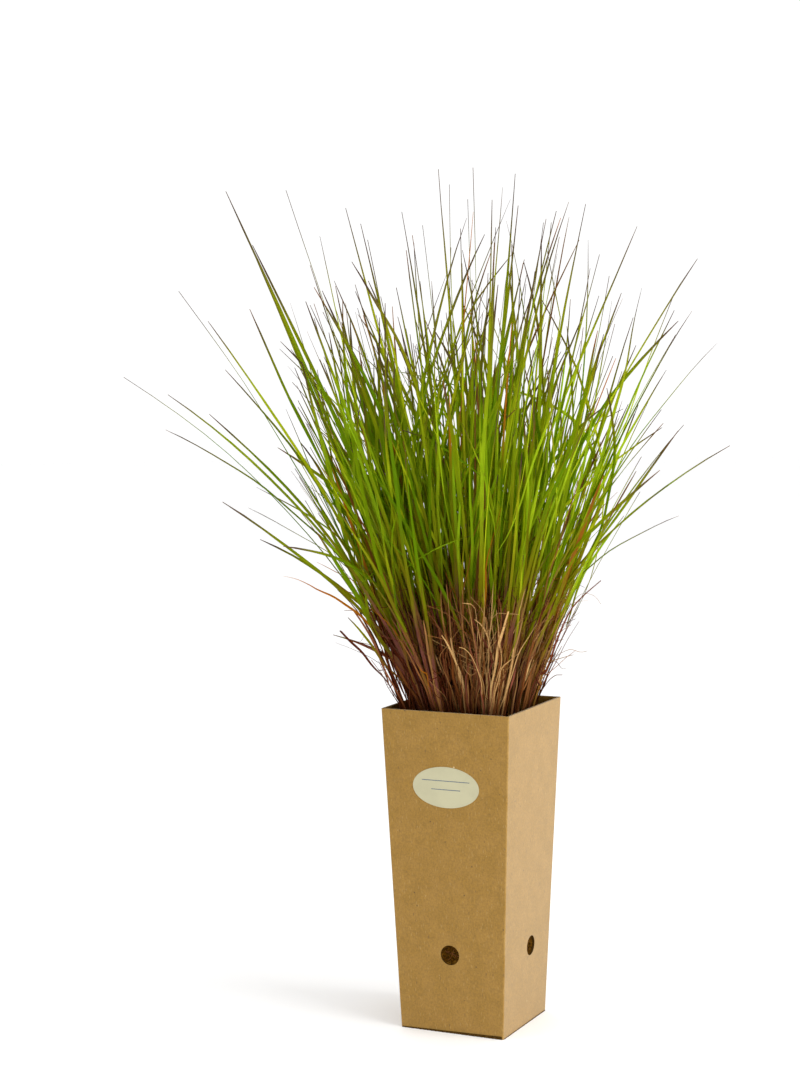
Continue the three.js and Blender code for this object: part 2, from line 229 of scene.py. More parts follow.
def select(piece, kind, wanted):
    """In edit mode, select just the faces or edges that a test takes."""
    bpy.ops.mesh.select_mode(type=kind)
    bpy.ops.mesh.select_all(action="DESELECT")
    mesh = bmesh.from_edit_mesh(piece.data)
    parts = mesh.faces if kind == "FACE" else mesh.edges
    for part in [part for part in parts if wanted(part)]:
        part.select_set(True)
    bmesh.update_edit_mesh(piece.data)


def apply(piece, kind, **settings):
    """Add a modifier and apply it."""
    take(piece)
    modifier = piece.modifiers.new(kind.title(), kind)
    for key, value in settings.items():
        setattr(modifier, key, value)
    bpy.ops.object.modifier_apply(modifier=modifier.name)


def cut(piece, cutter):
    """Cut one piece out of another and remove the cutter."""
    apply(piece, "BOOLEAN", operation="DIFFERENCE", object=cutter, solver="EXACT")
    bpy.data.objects.remove(cutter)


def join(pieces):
    """Join pieces into the first."""
    take(pieces[0])
    for piece in pieces:
        piece.select_set(True)
    bpy.ops.object.join()
    return pieces[0]


def places(piece):
    """The places of a mesh's points, as an array."""
    found = np.empty(3 * len(piece.data.vertices), np.float32)
    piece.data.vertices.foreach_get("co", found)
    return found.reshape(-1, 3)


def put(piece, spots):
    """Put a mesh's points at these places."""
    piece.data.vertices.foreach_set("co", np.asarray(spots, np.float32).ravel())
    piece.data.update()


def piece_of(name, spots, faces, angle):
    """A piece of copies that are laid out as points and faces, smooth up to an angle."""
    mesh = bpy.data.meshes.new(name)
    mesh.from_pydata(spots.tolist(), [], faces)
    piece = bpy.data.objects.new(name, mesh)
    bpy.context.scene.collection.objects.link(piece)
    take(piece)
    bpy.ops.object.shade_smooth_by_angle(angle=math.radians(angle))
    return piece


def paint(piece, *materials):
    """Give a piece its materials."""
    piece.data.materials.clear()
    for material in materials:
        piece.data.materials.append(material)


def dress(piece, slot, *nodes):
    """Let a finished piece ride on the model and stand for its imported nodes."""
    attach(piece, ROOT)
    if nodes:
        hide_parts(*nodes)


# Materials.
class Finish:
    """A node material with one Principled shader, and short ways to add to it."""

    def __init__(self, name, roughness, shine=0.5):
        self.material = bpy.data.materials.new(name)
        self.material.use_nodes = True
        self.nodes = self.material.node_tree.nodes
        self.links = self.material.node_tree.links
        self.shader = self.nodes["Principled BSDF"]
        self.surface(Roughness=roughness, Specular_IOR_Level=shine)

    def feed(self, socket, value):
        """Join a socket to an output, or set its value."""
        if isinstance(value, bpy.types.NodeSocket):
            self.links.new(value, socket)
        else:
            socket.default_value = value

    def fill(self, node, inputs):
        """Feed a node's inputs by their names."""
        for key, value in inputs.items():
            self.feed(node.inputs[key.replace("_", " ")], value)

    def surface(self, **inputs):
        """Feed the shader's inputs."""
        self.fill(self.shader, inputs)

    def add(self, kind, settings=None, **inputs):
        """Add a node, set its settings and feed its inputs with numbers or sockets."""
        node = self.nodes.new(kind)
        for key, value in (settings or {}).items():
            setattr(node, key, value)
        self.fill(node, inputs)
        return node

    def math(self, operation, *values):
        """The result of a Math node."""
        node = self.add("ShaderNodeMath", {"operation": operation})
        for socket, value in zip(node.inputs, values):
            self.feed(socket, value)
        return node.outputs[0]

    def mix(self, share, first, second, blend="MIX"):
        """A mix of two colours."""
        node = self.add("ShaderNodeMix", {"data_type": "RGBA", "blend_type": blend})
        for socket, value in zip((node.inputs[0], node.inputs[6], node.inputs[7]), (share, first, second)):
            self.feed(socket, value)
        return node.outputs[2]

    def step(self, value, low, high, to_low=0.0, to_high=1.0):
        """A value that goes smoothly from one number to another between two limits."""
        node = self.add("ShaderNodeMapRange", {"interpolation_type": "SMOOTHSTEP"})
        for socket, number in zip(node.inputs, (value, low, high, to_low, to_high)):
            self.feed(socket, number)
        return node.outputs[0]

    def noise(self, vector, scale, detail=3.0, roughness=0.5):
        """A noise value from 0 to 1."""
        inputs = {"Vector": vector, "Scale": scale, "Detail": detail, "Roughness": roughness}
        return self.add("ShaderNodeTexNoise", **inputs).outputs["Fac"]

    def cells(self, vector, scale):
        """How far a place is from the nearest of many scattered points."""
        return self.add("ShaderNodeTexVoronoi", Vector=vector, Scale=scale).outputs["Distance"]

    def stretch(self, vector, scale, turn=(0, 0, 0)):
        """Coordinates that are stretched and turned."""
        return self.add("ShaderNodeMapping", Vector=vector, Scale=scale, Rotation=turn).outputs[0]

    def attribute(self, name):
        """A number that the mesh carries."""
        return self.add("ShaderNodeAttribute", {"attribute_name": name}).outputs["Fac"]

    def vector(self, x, y, z):
        """Three numbers as a vector."""
        return self.add("ShaderNodeCombineXYZ", X=x, Y=y, Z=z).outputs[0]

    def place(self):
        """Object coordinates."""
        return self.add("ShaderNodeTexCoord").outputs["Object"]

    def axis(self, vector, name):
        """One of a vector's three numbers."""
        return self.add("ShaderNodeSeparateXYZ", Vector=vector).outputs[name]

    def scaled(self, shade, share):
        """A colour times a number."""
        return self.mix(1.0, shade, self.vector(share, share, share), "MULTIPLY")

    def ragged(self, value, noise, reach):
        """A value that noise moves up or down by half a reach."""
        return self.math("ADD", value, self.math("MULTIPLY_ADD", noise, reach, -reach / 2))

    def own_hue(self, shade, beat, first, second):
        """A colour that each blade has in a hue of its own, somewhere between two."""
        own = self.math("FRACT", self.math("MULTIPLY", self.attribute("tint"), beat))
        return self.mix(1.0, shade, self.mix(own, (*first, 1), (*second, 1)), "MULTIPLY")

    def bump(self, height, distance, strength=1.0):
        """Raise the surface by a height from 0 to 1."""
        node = self.add("ShaderNodeBump", Height=height, Distance=distance, Strength=strength)
        self.surface(Normal=node.outputs[0])

    def glow_through(self, colour, share):
        """Let light through in a paler colour, as a thin leaf does."""
        paler = self.add("ShaderNodeGamma", Color=colour, Gamma=0.6).outputs[0]
        back = self.add("ShaderNodeBsdfTranslucent", Color=paler)
        both = self.add("ShaderNodeMixShader", Fac=share)
        self.feed(both.inputs[1], self.shader.outputs[0])
        self.feed(both.inputs[2], back.outputs[0])
        self.fill(self.nodes["Material Output"], {"Surface": both.outputs[0]})


# Flecks in the board: how they are turned and stretched, their reach, their share and their colour.
FLECKS = (
    ((0.5, 0.4, 0), (85, 85, 85), 0.07, 0.8, (0.09, 0.045, 0.01, 1)),
    ((0.7, -0.6, 0.2), (190, 190, 60), 0.1, 0.75, (0.15, 0.075, 0.015, 1)),
    ((-0.4, 0.9, 0.5), (55, 55, 55), 0.045, 0.7, (0.75, 0.58, 0.34, 1)),
    ((0.2, 0.3, 1.1), (190, 190, 60), 0.05, 0.5, (0.55, 0.4, 0.18, 1)),
    ((1.2, 0.5, 0.4), (480, 480, 120), 0.22, 0.3, (0.46, 0.3, 0.1, 1)),
    ((0.6, 1.3, 0.9), (500, 110, 500), 0.2, 0.3, (0.16, 0.08, 0.012, 1)),
)
RUBBED = (0.46, 0.33, 0.13, 1)
# The inside of the board: a soil stain and painted shade in one near-black brown.
DAMP_STAIN_AND_SHADE = (0.05, 0.02, 0.004, 1)
DEAD_BROWN = (0.2, 0.1, 0.02, 1)
STRAW_SPOTS = (0.06, 0.022, 0.008, 1)
# Painted shade at the foot of the dry straws.
STRAW_FOOT_SHADE = (0.08, 0.018, 0.002, 1)


def kraft_board(size):
    """Kraft board: soft patches, fine mottling, fibres, dark and pale flecks and rubbed folds."""
    finish = Finish("kraft", 0.86, 0.4)
    spot = finish.place()
    patches = finish.step(finish.noise(spot, 60, 4, 0.6), 0.35, 0.65)
    mottle = finish.step(finish.noise(spot, 620, 5, 0.7), 0.3, 0.7, 0.84, 1.13)
    fibres = finish.noise(finish.stretch(spot, (1500, 1500, 260), (0.12, -0.1, 0)), 1, 3, 0.6)
    shade = finish.scaled(finish.mix(patches, size.kraft, size.tan), mottle)
    shade = finish.scaled(shade, finish.step(fibres, 0.35, 0.68, 0.93, 1.06))
    for turn, scale, reach, share, ink in FLECKS:
        flecks = finish.cells(finish.stretch(spot, scale, turn), 1)
        shade = finish.mix(finish.step(flecks, reach * 0.5, reach, share, 0.0), shade, ink)
    rough = finish.noise(spot, 1100, 3, 0.6)
    finish.surface(
        Base_Color=finish.mix(rubbed_folds(finish, spot, size), shade, RUBBED),
        Roughness=finish.step(rough, 0.2, 0.8, 0.76, 0.92),
        Sheen_Weight=0.42,
        Sheen_Roughness=0.5,
        Sheen_Tint=(0.93, 1, 0.99, 1),
    )
    finish.bump(finish.math("ADD", finish.math("MULTIPLY", fibres, 0.6), rough), 0.00012, 0.5)
    return finish.material


def rubbed_folds(finish, spot, size):
    """A thin paler line along the upright folds, broken by noise."""
    grow = (size.top - size.foot) / 2 / size.height
    half = finish.math("MULTIPLY_ADD", finish.axis(spot, "Z"), grow, size.foot / 2)
    off = (finish.math("ABSOLUTE", finish.axis(spot, axis)) for axis in "XY")
    inward = [finish.math("SUBTRACT", half, part) for part in off]
    fold = finish.step(finish.math("MAXIMUM", *inward), 0.0002, 0.0014, 1, 0)
    worn = finish.step(finish.noise(spot, 60, 3, 0.6), 0.3, 0.7, 0.0, 0.25)
    return finish.math("MULTIPLY", fold, worn)


def inner_board(size):
    """The inside of the board, stained by wet soil and painted with the shade that falls inside the carton:
    darker further down.
    """
    finish = Finish("inner_board", 0.95, 0.1)
    spot = finish.place()
    edge = finish.math("MULTIPLY_ADD", finish.noise(spot, 90, 4, 0.7), 0.01, finish.axis(spot, "Z"))
    # Painted shade with the soil's stain: the inside goes almost black from a little below the rim
    # downwards.
    damp_and_shade = finish.step(edge, size.height - 0.006, size.height + 0.007, 0.92, 0.35)
    grain = finish.step(finish.noise(spot, 700, 4, 0.7), 0.3, 0.7, 0.75, 1.2)
    finish.surface(Base_Color=finish.scaled(finish.mix(damp_and_shade, size.kraft, DAMP_STAIN_AND_SHADE), grain))
    finish.bump(finish.noise(spot, 1500, 3), 0.0001, 0.5)
    return finish.material


def cut_edge(size):
    """The brown cut edge of the board, with its fluted core."""
    finish = Finish("cut_edge", 0.95, 0.05)
    spot = finish.place()
    grain = finish.step(finish.noise(spot, 900, 4, 0.7), 0.3, 0.7)
    dark = (*(0.45 * part for part in size.cut[:3]), 1)
    finish.surface(Base_Color=finish.mix(grain, dark, size.cut))
    finish.bump(finish.noise(spot, 2200, 3), 0.0002, 0.6)
    return finish.material


def sticker_paper(size):
    """Smooth cream paper with a faint cloud and the finest grain."""
    finish = Finish("sticker_paper", 0.5)
    spot = finish.place()
    cloud = finish.step(finish.noise(spot, 70, 3), 0.3, 0.7, 0.95, 1.03)
    grain = finish.noise(spot, 2600, 3)
    rough = finish.step(grain, 0.2, 0.8, 0.42, 0.58)
    finish.surface(Base_Color=finish.scaled(size.paper, cloud), Roughness=rough)
    finish.bump(grain, 0.00004, 0.4)
    return finish.material


def sticker_ink(size):
    """Blue-grey ink that lets a little paper through."""
    finish = Finish("sticker_ink", 0.6)
    gaps = finish.step(finish.noise(finish.place(), 1800, 3), 0.45, 0.75, 0, 0.5)
    finish.surface(Base_Color=finish.mix(gaps, size.ink, size.paper))
    return finish.material


def potting_mix(size):
    """Dark, crumbly potting mix with paler bark."""
    finish = Finish("crumbly_mix", 0.97, 0.1)
    spot = finish.place()
    pale = finish.step(finish.noise(spot, 260, 4, 0.7), 0.5, 0.72)
    between_crumbs = finish.step(finish.noise(spot, 700, 3, 0.6), 0.35, 0.6, 0.85, 0)
    finish.surface(Base_Color=finish.mix(between_crumbs, finish.mix(pale, size.peat, size.bark), size.dark))
    height = finish.math("ADD", finish.cells(spot, 420), finish.noise(spot, 1500, 4, 0.7))
    finish.bump(height, 0.0009, 0.8)
    return finish.material


def streaks(finish, fine):
    """Noise that runs along a blade: coordinates go round it, along it and from blade to blade."""
    across, reach, tint = (finish.attribute(name) for name in ("across", "reach", "tint"))
    apart = finish.math("MULTIPLY", tint, 57.0)
    return finish.noise(finish.vector(finish.math("MULTIPLY", across, fine), reach, apart), 1, 3, 0.6)


def green_leaf(size):
    """A living blade: purple-brown sheath, green with fine veins, a dark tip, and rust where it dies."""
    finish = Finish("living_blade", 0.5, 0.06)
    across, along, tint, age, sheath, tip = (
        finish.attribute(name) for name in ("across", "along", "tint", "age", "sheath", "tip")
    )
    blotch = finish.noise(finish.place(), 38, 3, 0.6)
    grain = streaks(finish, 3.0)
    uneven = finish.math("ADD", tint, grain)
    tone = finish.math("ADD", finish.math("MULTIPLY", tint, 0.75), finish.math("MULTIPLY", blotch, 0.45))
    green = finish.mix(finish.step(tone, 0.32, 1.08), size.deep, size.bright)
    green = finish.own_hue(green, 53.3, (0.79, 0.97, 1), (1.17, 1.04, 1))
    foot = finish.mix(finish.step(uneven, 0.75, 1.25), size.sheath, size.bronze)
    grown = finish.ragged(sheath, grain, 0.5)
    shade = finish.mix(finish.step(grown, 0.5, 0.85), foot, size.olive)
    shade = finish.mix(finish.step(grown, 0.8, 1.6), shade, green)
    fading = finish.ragged(tip, blotch, 0.3)
    shade = finish.mix(finish.step(fading, 0.1, 0.7, 0, 0.8), shade, size.olive)
    shade = finish.mix(finish.step(fading, 0.5, 0.95, 0, 0.95), shade, size.tip)
    dying = finish.math("ADD", finish.math("MULTIPLY", age, 1.25), finish.math("SUBTRACT", along, 1.0))
    brown = finish.mix(finish.step(uneven, 0.6, 1.3), size.rust, DEAD_BROWN)
    shade = finish.mix(finish.step(finish.ragged(dying, grain, 0.3), 0.0, 0.18), shade, brown)
    veins = finish.math("SINE", finish.math("MULTIPLY", across, 19.0))
    lines = finish.math("MULTIPLY_ADD", veins, 0.07, 1.0)
    shade = finish.scaled(shade, finish.math("MULTIPLY", lines, finish.step(grain, 0.2, 0.8, 0.82, 1.18)))
    finish.surface(Base_Color=shade, Roughness=finish.step(grain, 0.2, 0.8, 0.45, 0.65))
    finish.bump(finish.math("ADD", veins, finish.math("MULTIPLY", grain, 2.0)), 0.00008, 0.5)
    finish.glow_through(shade, 0.55)
    return finish.material


@functools.cache
def dry_straw():
    """Dry straw and old sheaths, streaked along their length, with painted shade at the foot."""
    size = bpy.context.scene.potted_grass.straw
    finish = Finish("dry_straw", 0.8, 0.05)
    tint = finish.attribute("tint")
    grain = streaks(finish, 4.0)
    shade = finish.mix(finish.step(tint, 0.15, 0.5), size.plum, size.tan)
    shade = finish.mix(finish.step(tint, 0.5, 0.95), shade, size.straw)
    # Painted shade: each straw is darker towards both its edges, as a rounded stem is shaded there.
    edges = finish.math("MULTIPLY", finish.math("POWER", finish.attribute("across"), 4.0), 0.3)
    shade = finish.scaled(shade, finish.math("SUBTRACT", finish.step(grain, 0.25, 0.75, 0.55, 1.35), edges))
    shade = finish.own_hue(shade, 91.7, (0.5, 0.3, 0.12), (1.3, 1.3, 1.25))
    spots = finish.step(finish.noise(finish.place(), 420, 3, 0.7), 0.6, 0.72, 0, 0.6)
    shade = finish.mix(spots, shade, STRAW_SPOTS)
    # Painted shade: the first few centimetres of each straw go dark, where the clump's foot is in shade.
    shade = finish.mix(finish.step(finish.attribute("reach"), 0.0, 2.4, 0.7, 0.0), shade, STRAW_FOOT_SHADE)
    finish.surface(Base_Color=shade, Roughness=finish.step(grain, 0.2, 0.8, 0.7, 0.9))
    finish.bump(grain, 0.0002, 0.7)
    finish.glow_through(shade, 0.08)
    return finish.material


def pale_floor(size):
    """A plain pale floor with the faintest cloud."""
    finish = Finish("pale_floor", 0.8)
    cloud = finish.step(finish.noise(finish.place(), 3, 2), 0.3, 0.7, 0.99, 1.0)
    finish.surface(Base_Color=finish.scaled(size.floor, cloud))
    return finish.material


# The carton.
INSET_LINER = 0.00035
CHANNEL_DEEP = 0.002
FLAP_EDGE = 0.018
FLAP_GAP = 0.0008
FOLD_STEPS = 4
HOLE_STEPS = 56
FLUTE_STEPS = 8
CORE_THICK = 0.00022
CORE_SUNK = 0.0002
FOOT_RIPPLE = 0.25
FOOT_PROUD = 0.0002
# The dark strips that show under the foot: the quarter turn, and how tall each is at its ends.
FOOT_EDGES = ((0, 0.001, 0.0026), (1, 0.0006, 0.0009))


def half_width(size, z):
    """Half the carton's outer width at a height."""
    return size.foot / 2 + (size.top - size.foot) / 2 * z / size.height


def is_top(z):
    """A test for upward faces at a height."""
    return lambda face: face.normal.z > 0.9 and abs(face.calc_center_median().z - z) < 1e-5


def is_upright(least):
    """A test for edges that rise by more than a height."""
    return lambda edge: abs(edge.verts[0].co.z - edge.verts[1].co.z) > least


def carton_body(size):
    """The tapered, folded carton with its walls, its floor and a channel between its liners at the rim."""
    begin()
    bpy.ops.mesh.primitive_cube_add(
        size=1, location=(0, 0, size.height / 2), scale=(size.foot, size.foot, size.height)
    )
    carton = settle("carton")
    grow = size.top / size.foot
    floor = 2 * size.board
    inner = (half_width(size, floor) - size.board) / (size.top / 2 - size.board)
    with edit(carton):
        select(carton, "FACE", is_top(size.height))
        bpy.ops.transform.resize(value=(grow, grow, 1), center_override=(0, 0, size.height))
        select(carton, "EDGE", is_upright(size.height / 2))
        bpy.ops.mesh.bevel(offset=size.fold, segments=FOLD_STEPS, affect="EDGES")
        select(carton, "FACE", is_top(size.height))
        bpy.ops.mesh.inset(thickness=size.board)
        bpy.ops.mesh.extrude_region_move(TRANSFORM_OT_translate={"value": (0, 0, floor - size.height)})
        bpy.ops.transform.resize(value=(inner, inner, 1), center_override=(0, 0, floor))
        select(carton, "FACE", is_top(size.height))
        bpy.ops.mesh.inset(thickness=INSET_LINER)
        bpy.ops.mesh.extrude_region_move(TRANSFORM_OT_translate={"value": (0, 0, -CHANNEL_DEEP)})
    return carton


def cut_holes(carton, size):
    """The round hole low in each side, and the slit between the bottom flaps."""
    for side_shift, turn in ((0, (math.pi / 2, 0, 0)), (size.side_shift, (0, math.pi / 2, 0))):
        begin()
        bpy.ops.mesh.primitive_cylinder_add(
            vertices=HOLE_STEPS,
            radius=size.hole / 2,
            depth=2 * size.top,
            location=(0, side_shift, size.hole_height),
            rotation=turn,
        )
        cut(carton, settle("bore"))
    begin()
    slit = (size.foot - 4 * size.fold, FLAP_GAP, 2 * size.board)
    bpy.ops.mesh.primitive_cube_add(size=1, location=(0, FLAP_EDGE, 0), scale=slit)
    cut(carton, settle("slit"))


def sort_faces(carton, size):
    """Mark the faces where the board was cut, in the holes and in the rim's channel, and those inside."""
    for face in carton.data.polygons:
        x, y, z = face.center
        up = z - size.hole_height
        around = min(math.hypot(x, up), math.hypot(y - size.side_shift, up))
        in_hole = abs(around - size.hole / 2) < 0.0004 and face.area < 1e-5
        in_rim = size.height - 2 * CHANNEL_DEEP < z < size.height - 1e-5 and abs(face.normal.z) > 0.9
        inward = face.normal.x * x + face.normal.y * y < -0.5 * size.foot / 2 + 1e-4
        if in_hole or in_rim:
            face.material_index = 1
        elif inward or (face.normal.z > 0.9 and z < size.height / 2):
            face.material_index = 2


def flute_strip(size, name, long, tall):
    """One wavy strip of the board's core, along X and upright."""
    waves = max(1, round(long / size.pitch))
    begin()
    bpy.ops.mesh.primitive_grid_add(x_subdivisions=waves * FLUTE_STEPS, y_subdivisions=1, size=1)
    strip = settle(name)
    spots = places(strip)
    swing = size.board / 2 - INSET_LINER - CORE_THICK / 2
    wave = swing * np.sin(2 * math.pi * waves * (spots[:, 0] + 0.5))
    put(strip, np.stack([spots[:, 0] * long, wave, spots[:, 1] * tall], 1))
    apply(strip, "SOLIDIFY", thickness=CORE_THICK, offset=0)
    return strip


def rim_flutes(size):
    """The core of the board, showing between its liners all round the rim."""
    first = flute_strip(size, "flutes", size.top - 2 * size.fold - size.board, CHANNEL_DEEP)
    middle = size.height - CHANNEL_DEEP / 2 - CORE_SUNK
    first.data.transform(Matrix.Translation((0, (size.board - size.top) / 2, middle)))
    strips = [first]
    for quarter in range(1, 4):
        strip = first.copy()
        strip.data = first.data.copy()
        bpy.context.scene.collection.objects.link(strip)
        strip.data.transform(Matrix.Rotation(quarter * math.pi / 2, 4, "Z"))
        strips.append(strip)
    return strips


def foot_edge(size, quarter, thin, thick):
    """A dark, slightly rippled strip under one face, thicker towards one end."""
    long = size.foot - 2 * size.fold
    strip = flute_strip(size, "foot_edge", long, 1)
    spots = places(strip)
    tall = thin + (thick - thin) * (spots[:, 0] / long + 0.5)
    rise = (spots[:, 2] + 0.5) * tall
    depth = spots[:, 1] * FOOT_RIPPLE - half_width(size, rise) - FOOT_PROUD
    put(strip, np.stack([spots[:, 0], depth, rise], 1))
    strip.data.transform(Matrix.Rotation(quarter * math.pi / 2, 4, "Z"))
    return strip


# The growing rule, as in the part's source.
POT_HEIGHT = 260.0
SOIL_TOP = POT_HEIGHT - 9
CROWNS = 56
STAND = 43.0
SQUARENESS = 0.7
CROWN_RISE = 4.5
ROOT_DEPTH = 2.0
GOLDEN_ANGLE = math.pi * (3 - math.sqrt(5))
THATCH_FROM = 14
THATCH_EVERY = 6
THATCH_SIDE = -0.55
THATCH_HALF_ANGLE = 0.85
LEADER = {
    "count": 2,
    "ring": 1.8,
    "times": (0, 0.16, 0.38, 0.6, 0.82, 1),
    "widths": (3.2, 3.8, 3.0, 2.6, 1.7, 0),
    "keels": (2.4, 2.2, 1.2, 0.8, 0.7, 0),
    "length": (290, 440),
    "spread": (0.2, 0.4),
    "bow": (0.36, 0.5),
    "breadth": (0.9, 1.1),
    "twist": 0.3,
    "nudge": 60,
}
LEAF = {
    "count": 7,
    "ring": 3.3,
    "times": (0, 0.3, 0.65, 1),
    "widths": (1.6, 2.6, 2.0, 0),
    "keels": (1.2, 0.9, 0.8, 0),
    "length": (220, 450),
    "loss": (0, 0.5),
    "spread": (0.1, 0.22),
    "fan": 1.15,
    "flare": 0.04,
    "part": (0.03, 0.25),
    "bow": (0.35, 0.5),
    "breadth": (0.8, 1.2),
    "twist": 0.3,
}
STUB = {
    "count": 7,
    "ring": 3.1,
    "times": (0, 0.5, 0.82, 1),
    "widths": (1.7, 3.2, 2.6, 1.6),
    "keels": (1.2, 1.4, 1.0, 0.8),
    "length": (45, 115),
    "loss": (0, 0.5),
    "spread": (0.1, 0.5),
    "flare": 0.12,
    "bow": 0.6,
    "breadth": (0.7, 1.2),
    "bent_share": 0.35,
    "bent": 14,
    "straight": 3,
}
STEM_SLOPE = 0.3
TIP_SLOPE = 0.38
CLUMP_LEAN = (-0.06, -0.03)
LEAN_LOSS = 0.65
VIEW_TURN = math.radians(23.8)
OUTLINE_REACH = 1.2
# The long leaves of the clump's outline: across, up over the rim and towards the eye, in millimetres.
OUTLINE = (
    (-274, 264, 20), (-257, 220, -40), (-228, 331, 30), (-205, 268, -90), (-202, 307, 60),
    (-201, 236, 70), (-195, 166, 40), (-194, 411, -10), (-184, 381, -60), (-170, 132, -20),
    (-164, 364, 90), (-146, 236, -110), (-142, 408, 40), (-130, 353, -50), (-110, 60, 30),
    (-98, 396, 0), (-83, 380, 70), (-43, 370, 90), (-24, 425, 10), (-16, 417, -50),
    (3, 423, 50), (22, 384, -90), (37, 423, -20), (56, 379, 80), (67, 386, -60),
    (91, 396, 20), (105, 359, -40), (125, 307, 60), (163, 325, -20), (173, 312, 30),
    (196, 287, 0), (145, 237, 80), (175, 220, -60), (205, 206, 10), (163, 152, 30),
    (20, 330, 190), (-60, 270, 230), (90, 250, 210), (-120, 320, 150), (-20, 350, -190),
    (60, 280, -220), (-110, 260, -200), (130, 330, -150),
)
TRIES = 120
CLEARANCE = 0.3
FIRST_SEED = {"crown": 9000, "leader": 1000, "stub": 2000, "leaf": 3000}
LOW_32 = 0xFFFFFFFF


def random_from(seed):
    """Even random numbers from 0 to 1, the same ones each time for the same seed."""
    state = seed & LOW_32

    def draw():
        nonlocal state
        state = (state + 0x6D2B79F5) & LOW_32
        mixed = (state ^ (state >> 15)) * (state | 1) & LOW_32
        mixed ^= (mixed + (mixed ^ (mixed >> 7)) * (mixed | 61)) & LOW_32
        return (mixed ^ (mixed >> 14)) / (LOW_32 + 1)

    return draw


def sway(draw):
    """A random number from -1 to 1 that is most often near 0."""
    return draw() + draw() - 1


def between(ends, share):
    """The number that lies a share of the way from one to another."""
    return ends[0] + (ends[1] - ends[0]) * share


def point_along(start, slope, long):
    """The point that lies a length away along a slope."""
    way = np.array((slope[0], slope[1], 1.0))
    return start + way * (long / math.sqrt(way @ way))


def bow_to(start, slope, tip, stiffness):
    """The three points of a curve that leaves its start along a slope and bows out to its tip."""
    gap = tip - start
    return np.array((start, point_along(start, slope, stiffness * math.sqrt(gap @ gap)), tip))


def along_curve(curve, times):
    """Points along such a curve."""
    t = np.asarray(times, float)[:, None]
    return (1 - t) ** 2 * curve[0] + 2 * (1 - t) * t * curve[1] + t * t * curve[2]


class Thicket:
    """The straight stretches of the blades placed so far."""

    def __init__(self):
        self.rows = np.empty((0, 13))

    def add(self, rows):
        """Take in the stretches of one more blade."""
        self.rows = np.vstack([self.rows, rows])

    def is_clear(self, rows):
        """Whether a blade keeps clear of the rest. It may meet its own tuft at their roots."""
        return all(self.lets_by(row) for row in rows)

    def lets_by(self, mine):
        """Whether one stretch is clear of all the others."""
        rows = self.rows
        if not len(rows):
            return True
        room = mine[10] + rows[:, 10] + CLEARANCE
        halves = (math.sqrt(mine[9]) + np.sqrt(rows[:, 9])) / 2 + room
        apart = rows[:, 6:9] - mine[6:9]
        near = (apart * apart).sum(1) <= halves * halves
        if mine[12]:
            near &= ~((rows[:, 12] > 0) & (rows[:, 11] == mine[11]))
        return bool((gaps_between(mine, rows[near]) > room[near]).all())


def stretches_of(points, widths, owner):
    """Rows of start, reach, middle, squared length, radius, owner and whether it is a root."""
    start = points[:-1]
    reach = points[1:] - start
    square = (reach * reach).sum(1)
    radius = np.maximum(widths[:-1], widths[1:]) / 2
    owners = np.full(len(reach), owner)
    root = np.arange(len(reach)) == 0
    return np.column_stack([start, reach, start + reach * 0.5, square, radius, owners, root])


def gaps_between(mine, rows):
    """The shortest distance from one straight stretch to each of the others."""
    along = rows[:, 3:6] @ mine[3:6]
    apart = mine[0:3] - rows[:, 0:3]
    ahead = apart @ mine[3:6]
    beside = (apart * rows[:, 3:6]).sum(1)
    spread = mine[9] * rows[:, 9] - along * along
    safe = np.where(spread > 1e-9, spread, 1)
    s = np.where(spread > 1e-9, np.clip((along * beside - ahead * rows[:, 9]) / safe, 0, 1), 0)
    t = (along * s + beside) / rows[:, 9]
    s = np.where(t < 0, np.clip(-ahead / mine[9], 0, 1), s)
    s = np.where(t > 1, np.clip((along - ahead) / mine[9], 0, 1), s)
    t = np.clip(t, 0, 1)
    gap = apart + s[:, None] * mine[3:6] - t[:, None] * rows[:, 3:6]
    return np.sqrt((gap * gap).sum(1))


@dataclass
class Root:
    """Where a blade starts: its crown, its place, its way out and its slope."""

    owner: int
    start: np.ndarray
    turn: float
    out: tuple
    fan: tuple
    slope: tuple
    tip: np.ndarray = None


@dataclass
class Grown:
    """A blade that has found its place."""

    owner: int
    kind: str
    curve: np.ndarray
    breadth: float
    twist: float
    wish: np.ndarray = None


def crown_places():
    """Where the crowns stand, in a rounded square."""
    spots = []
    for i in range(CROWNS):
        angle = i * GOLDEN_ANGLE
        across, along = math.cos(angle), math.sin(angle)
        out = STAND * math.sqrt((i + 0.5) / CROWNS) * max(abs(across), abs(along)) ** -SQUARENESS
        spots.append((out * across, out * along))
    return spots


def is_thatch(crown, i):
    """Whether a crown is last year's dead growth."""
    if i < THATCH_FROM:
        return False
    turn = math.atan2(crown[1], crown[0]) - THATCH_SIDE
    off = abs(math.atan2(math.sin(turn), math.cos(turn)))
    return i % THATCH_EVERY == 0 or (off < THATCH_HALF_ANGLE and i % 2 == 0)


def roots_of(crown, owner, form, first_turn):
    """The roots of one kind of blade, evenly round a crown."""
    found = []
    for i in range(form["count"]):
        turn = first_turn + i * 2 * math.pi / form["count"]
        out = (math.cos(turn), math.sin(turn))
        x, y = (crown[side] + form["ring"] * out[side] for side in (0, 1))
        fan = (x / STAND, y / STAND)
        slope = tuple(STEM_SLOPE * fan[side] + CLUMP_LEAN[side] for side in (0, 1))
        start = np.array((x, y, SOIL_TOP + CROWN_RISE - ROOT_DEPTH))
        found.append(Root(owner, start, turn, out, fan, slope))
    return found


def from_view(across, toward):
    """Places along X and Y, from those across the photograph and towards its eye."""
    c, s = math.cos(VIEW_TURN), math.sin(VIEW_TURN)
    return across * c + toward * s, across * s - toward * c


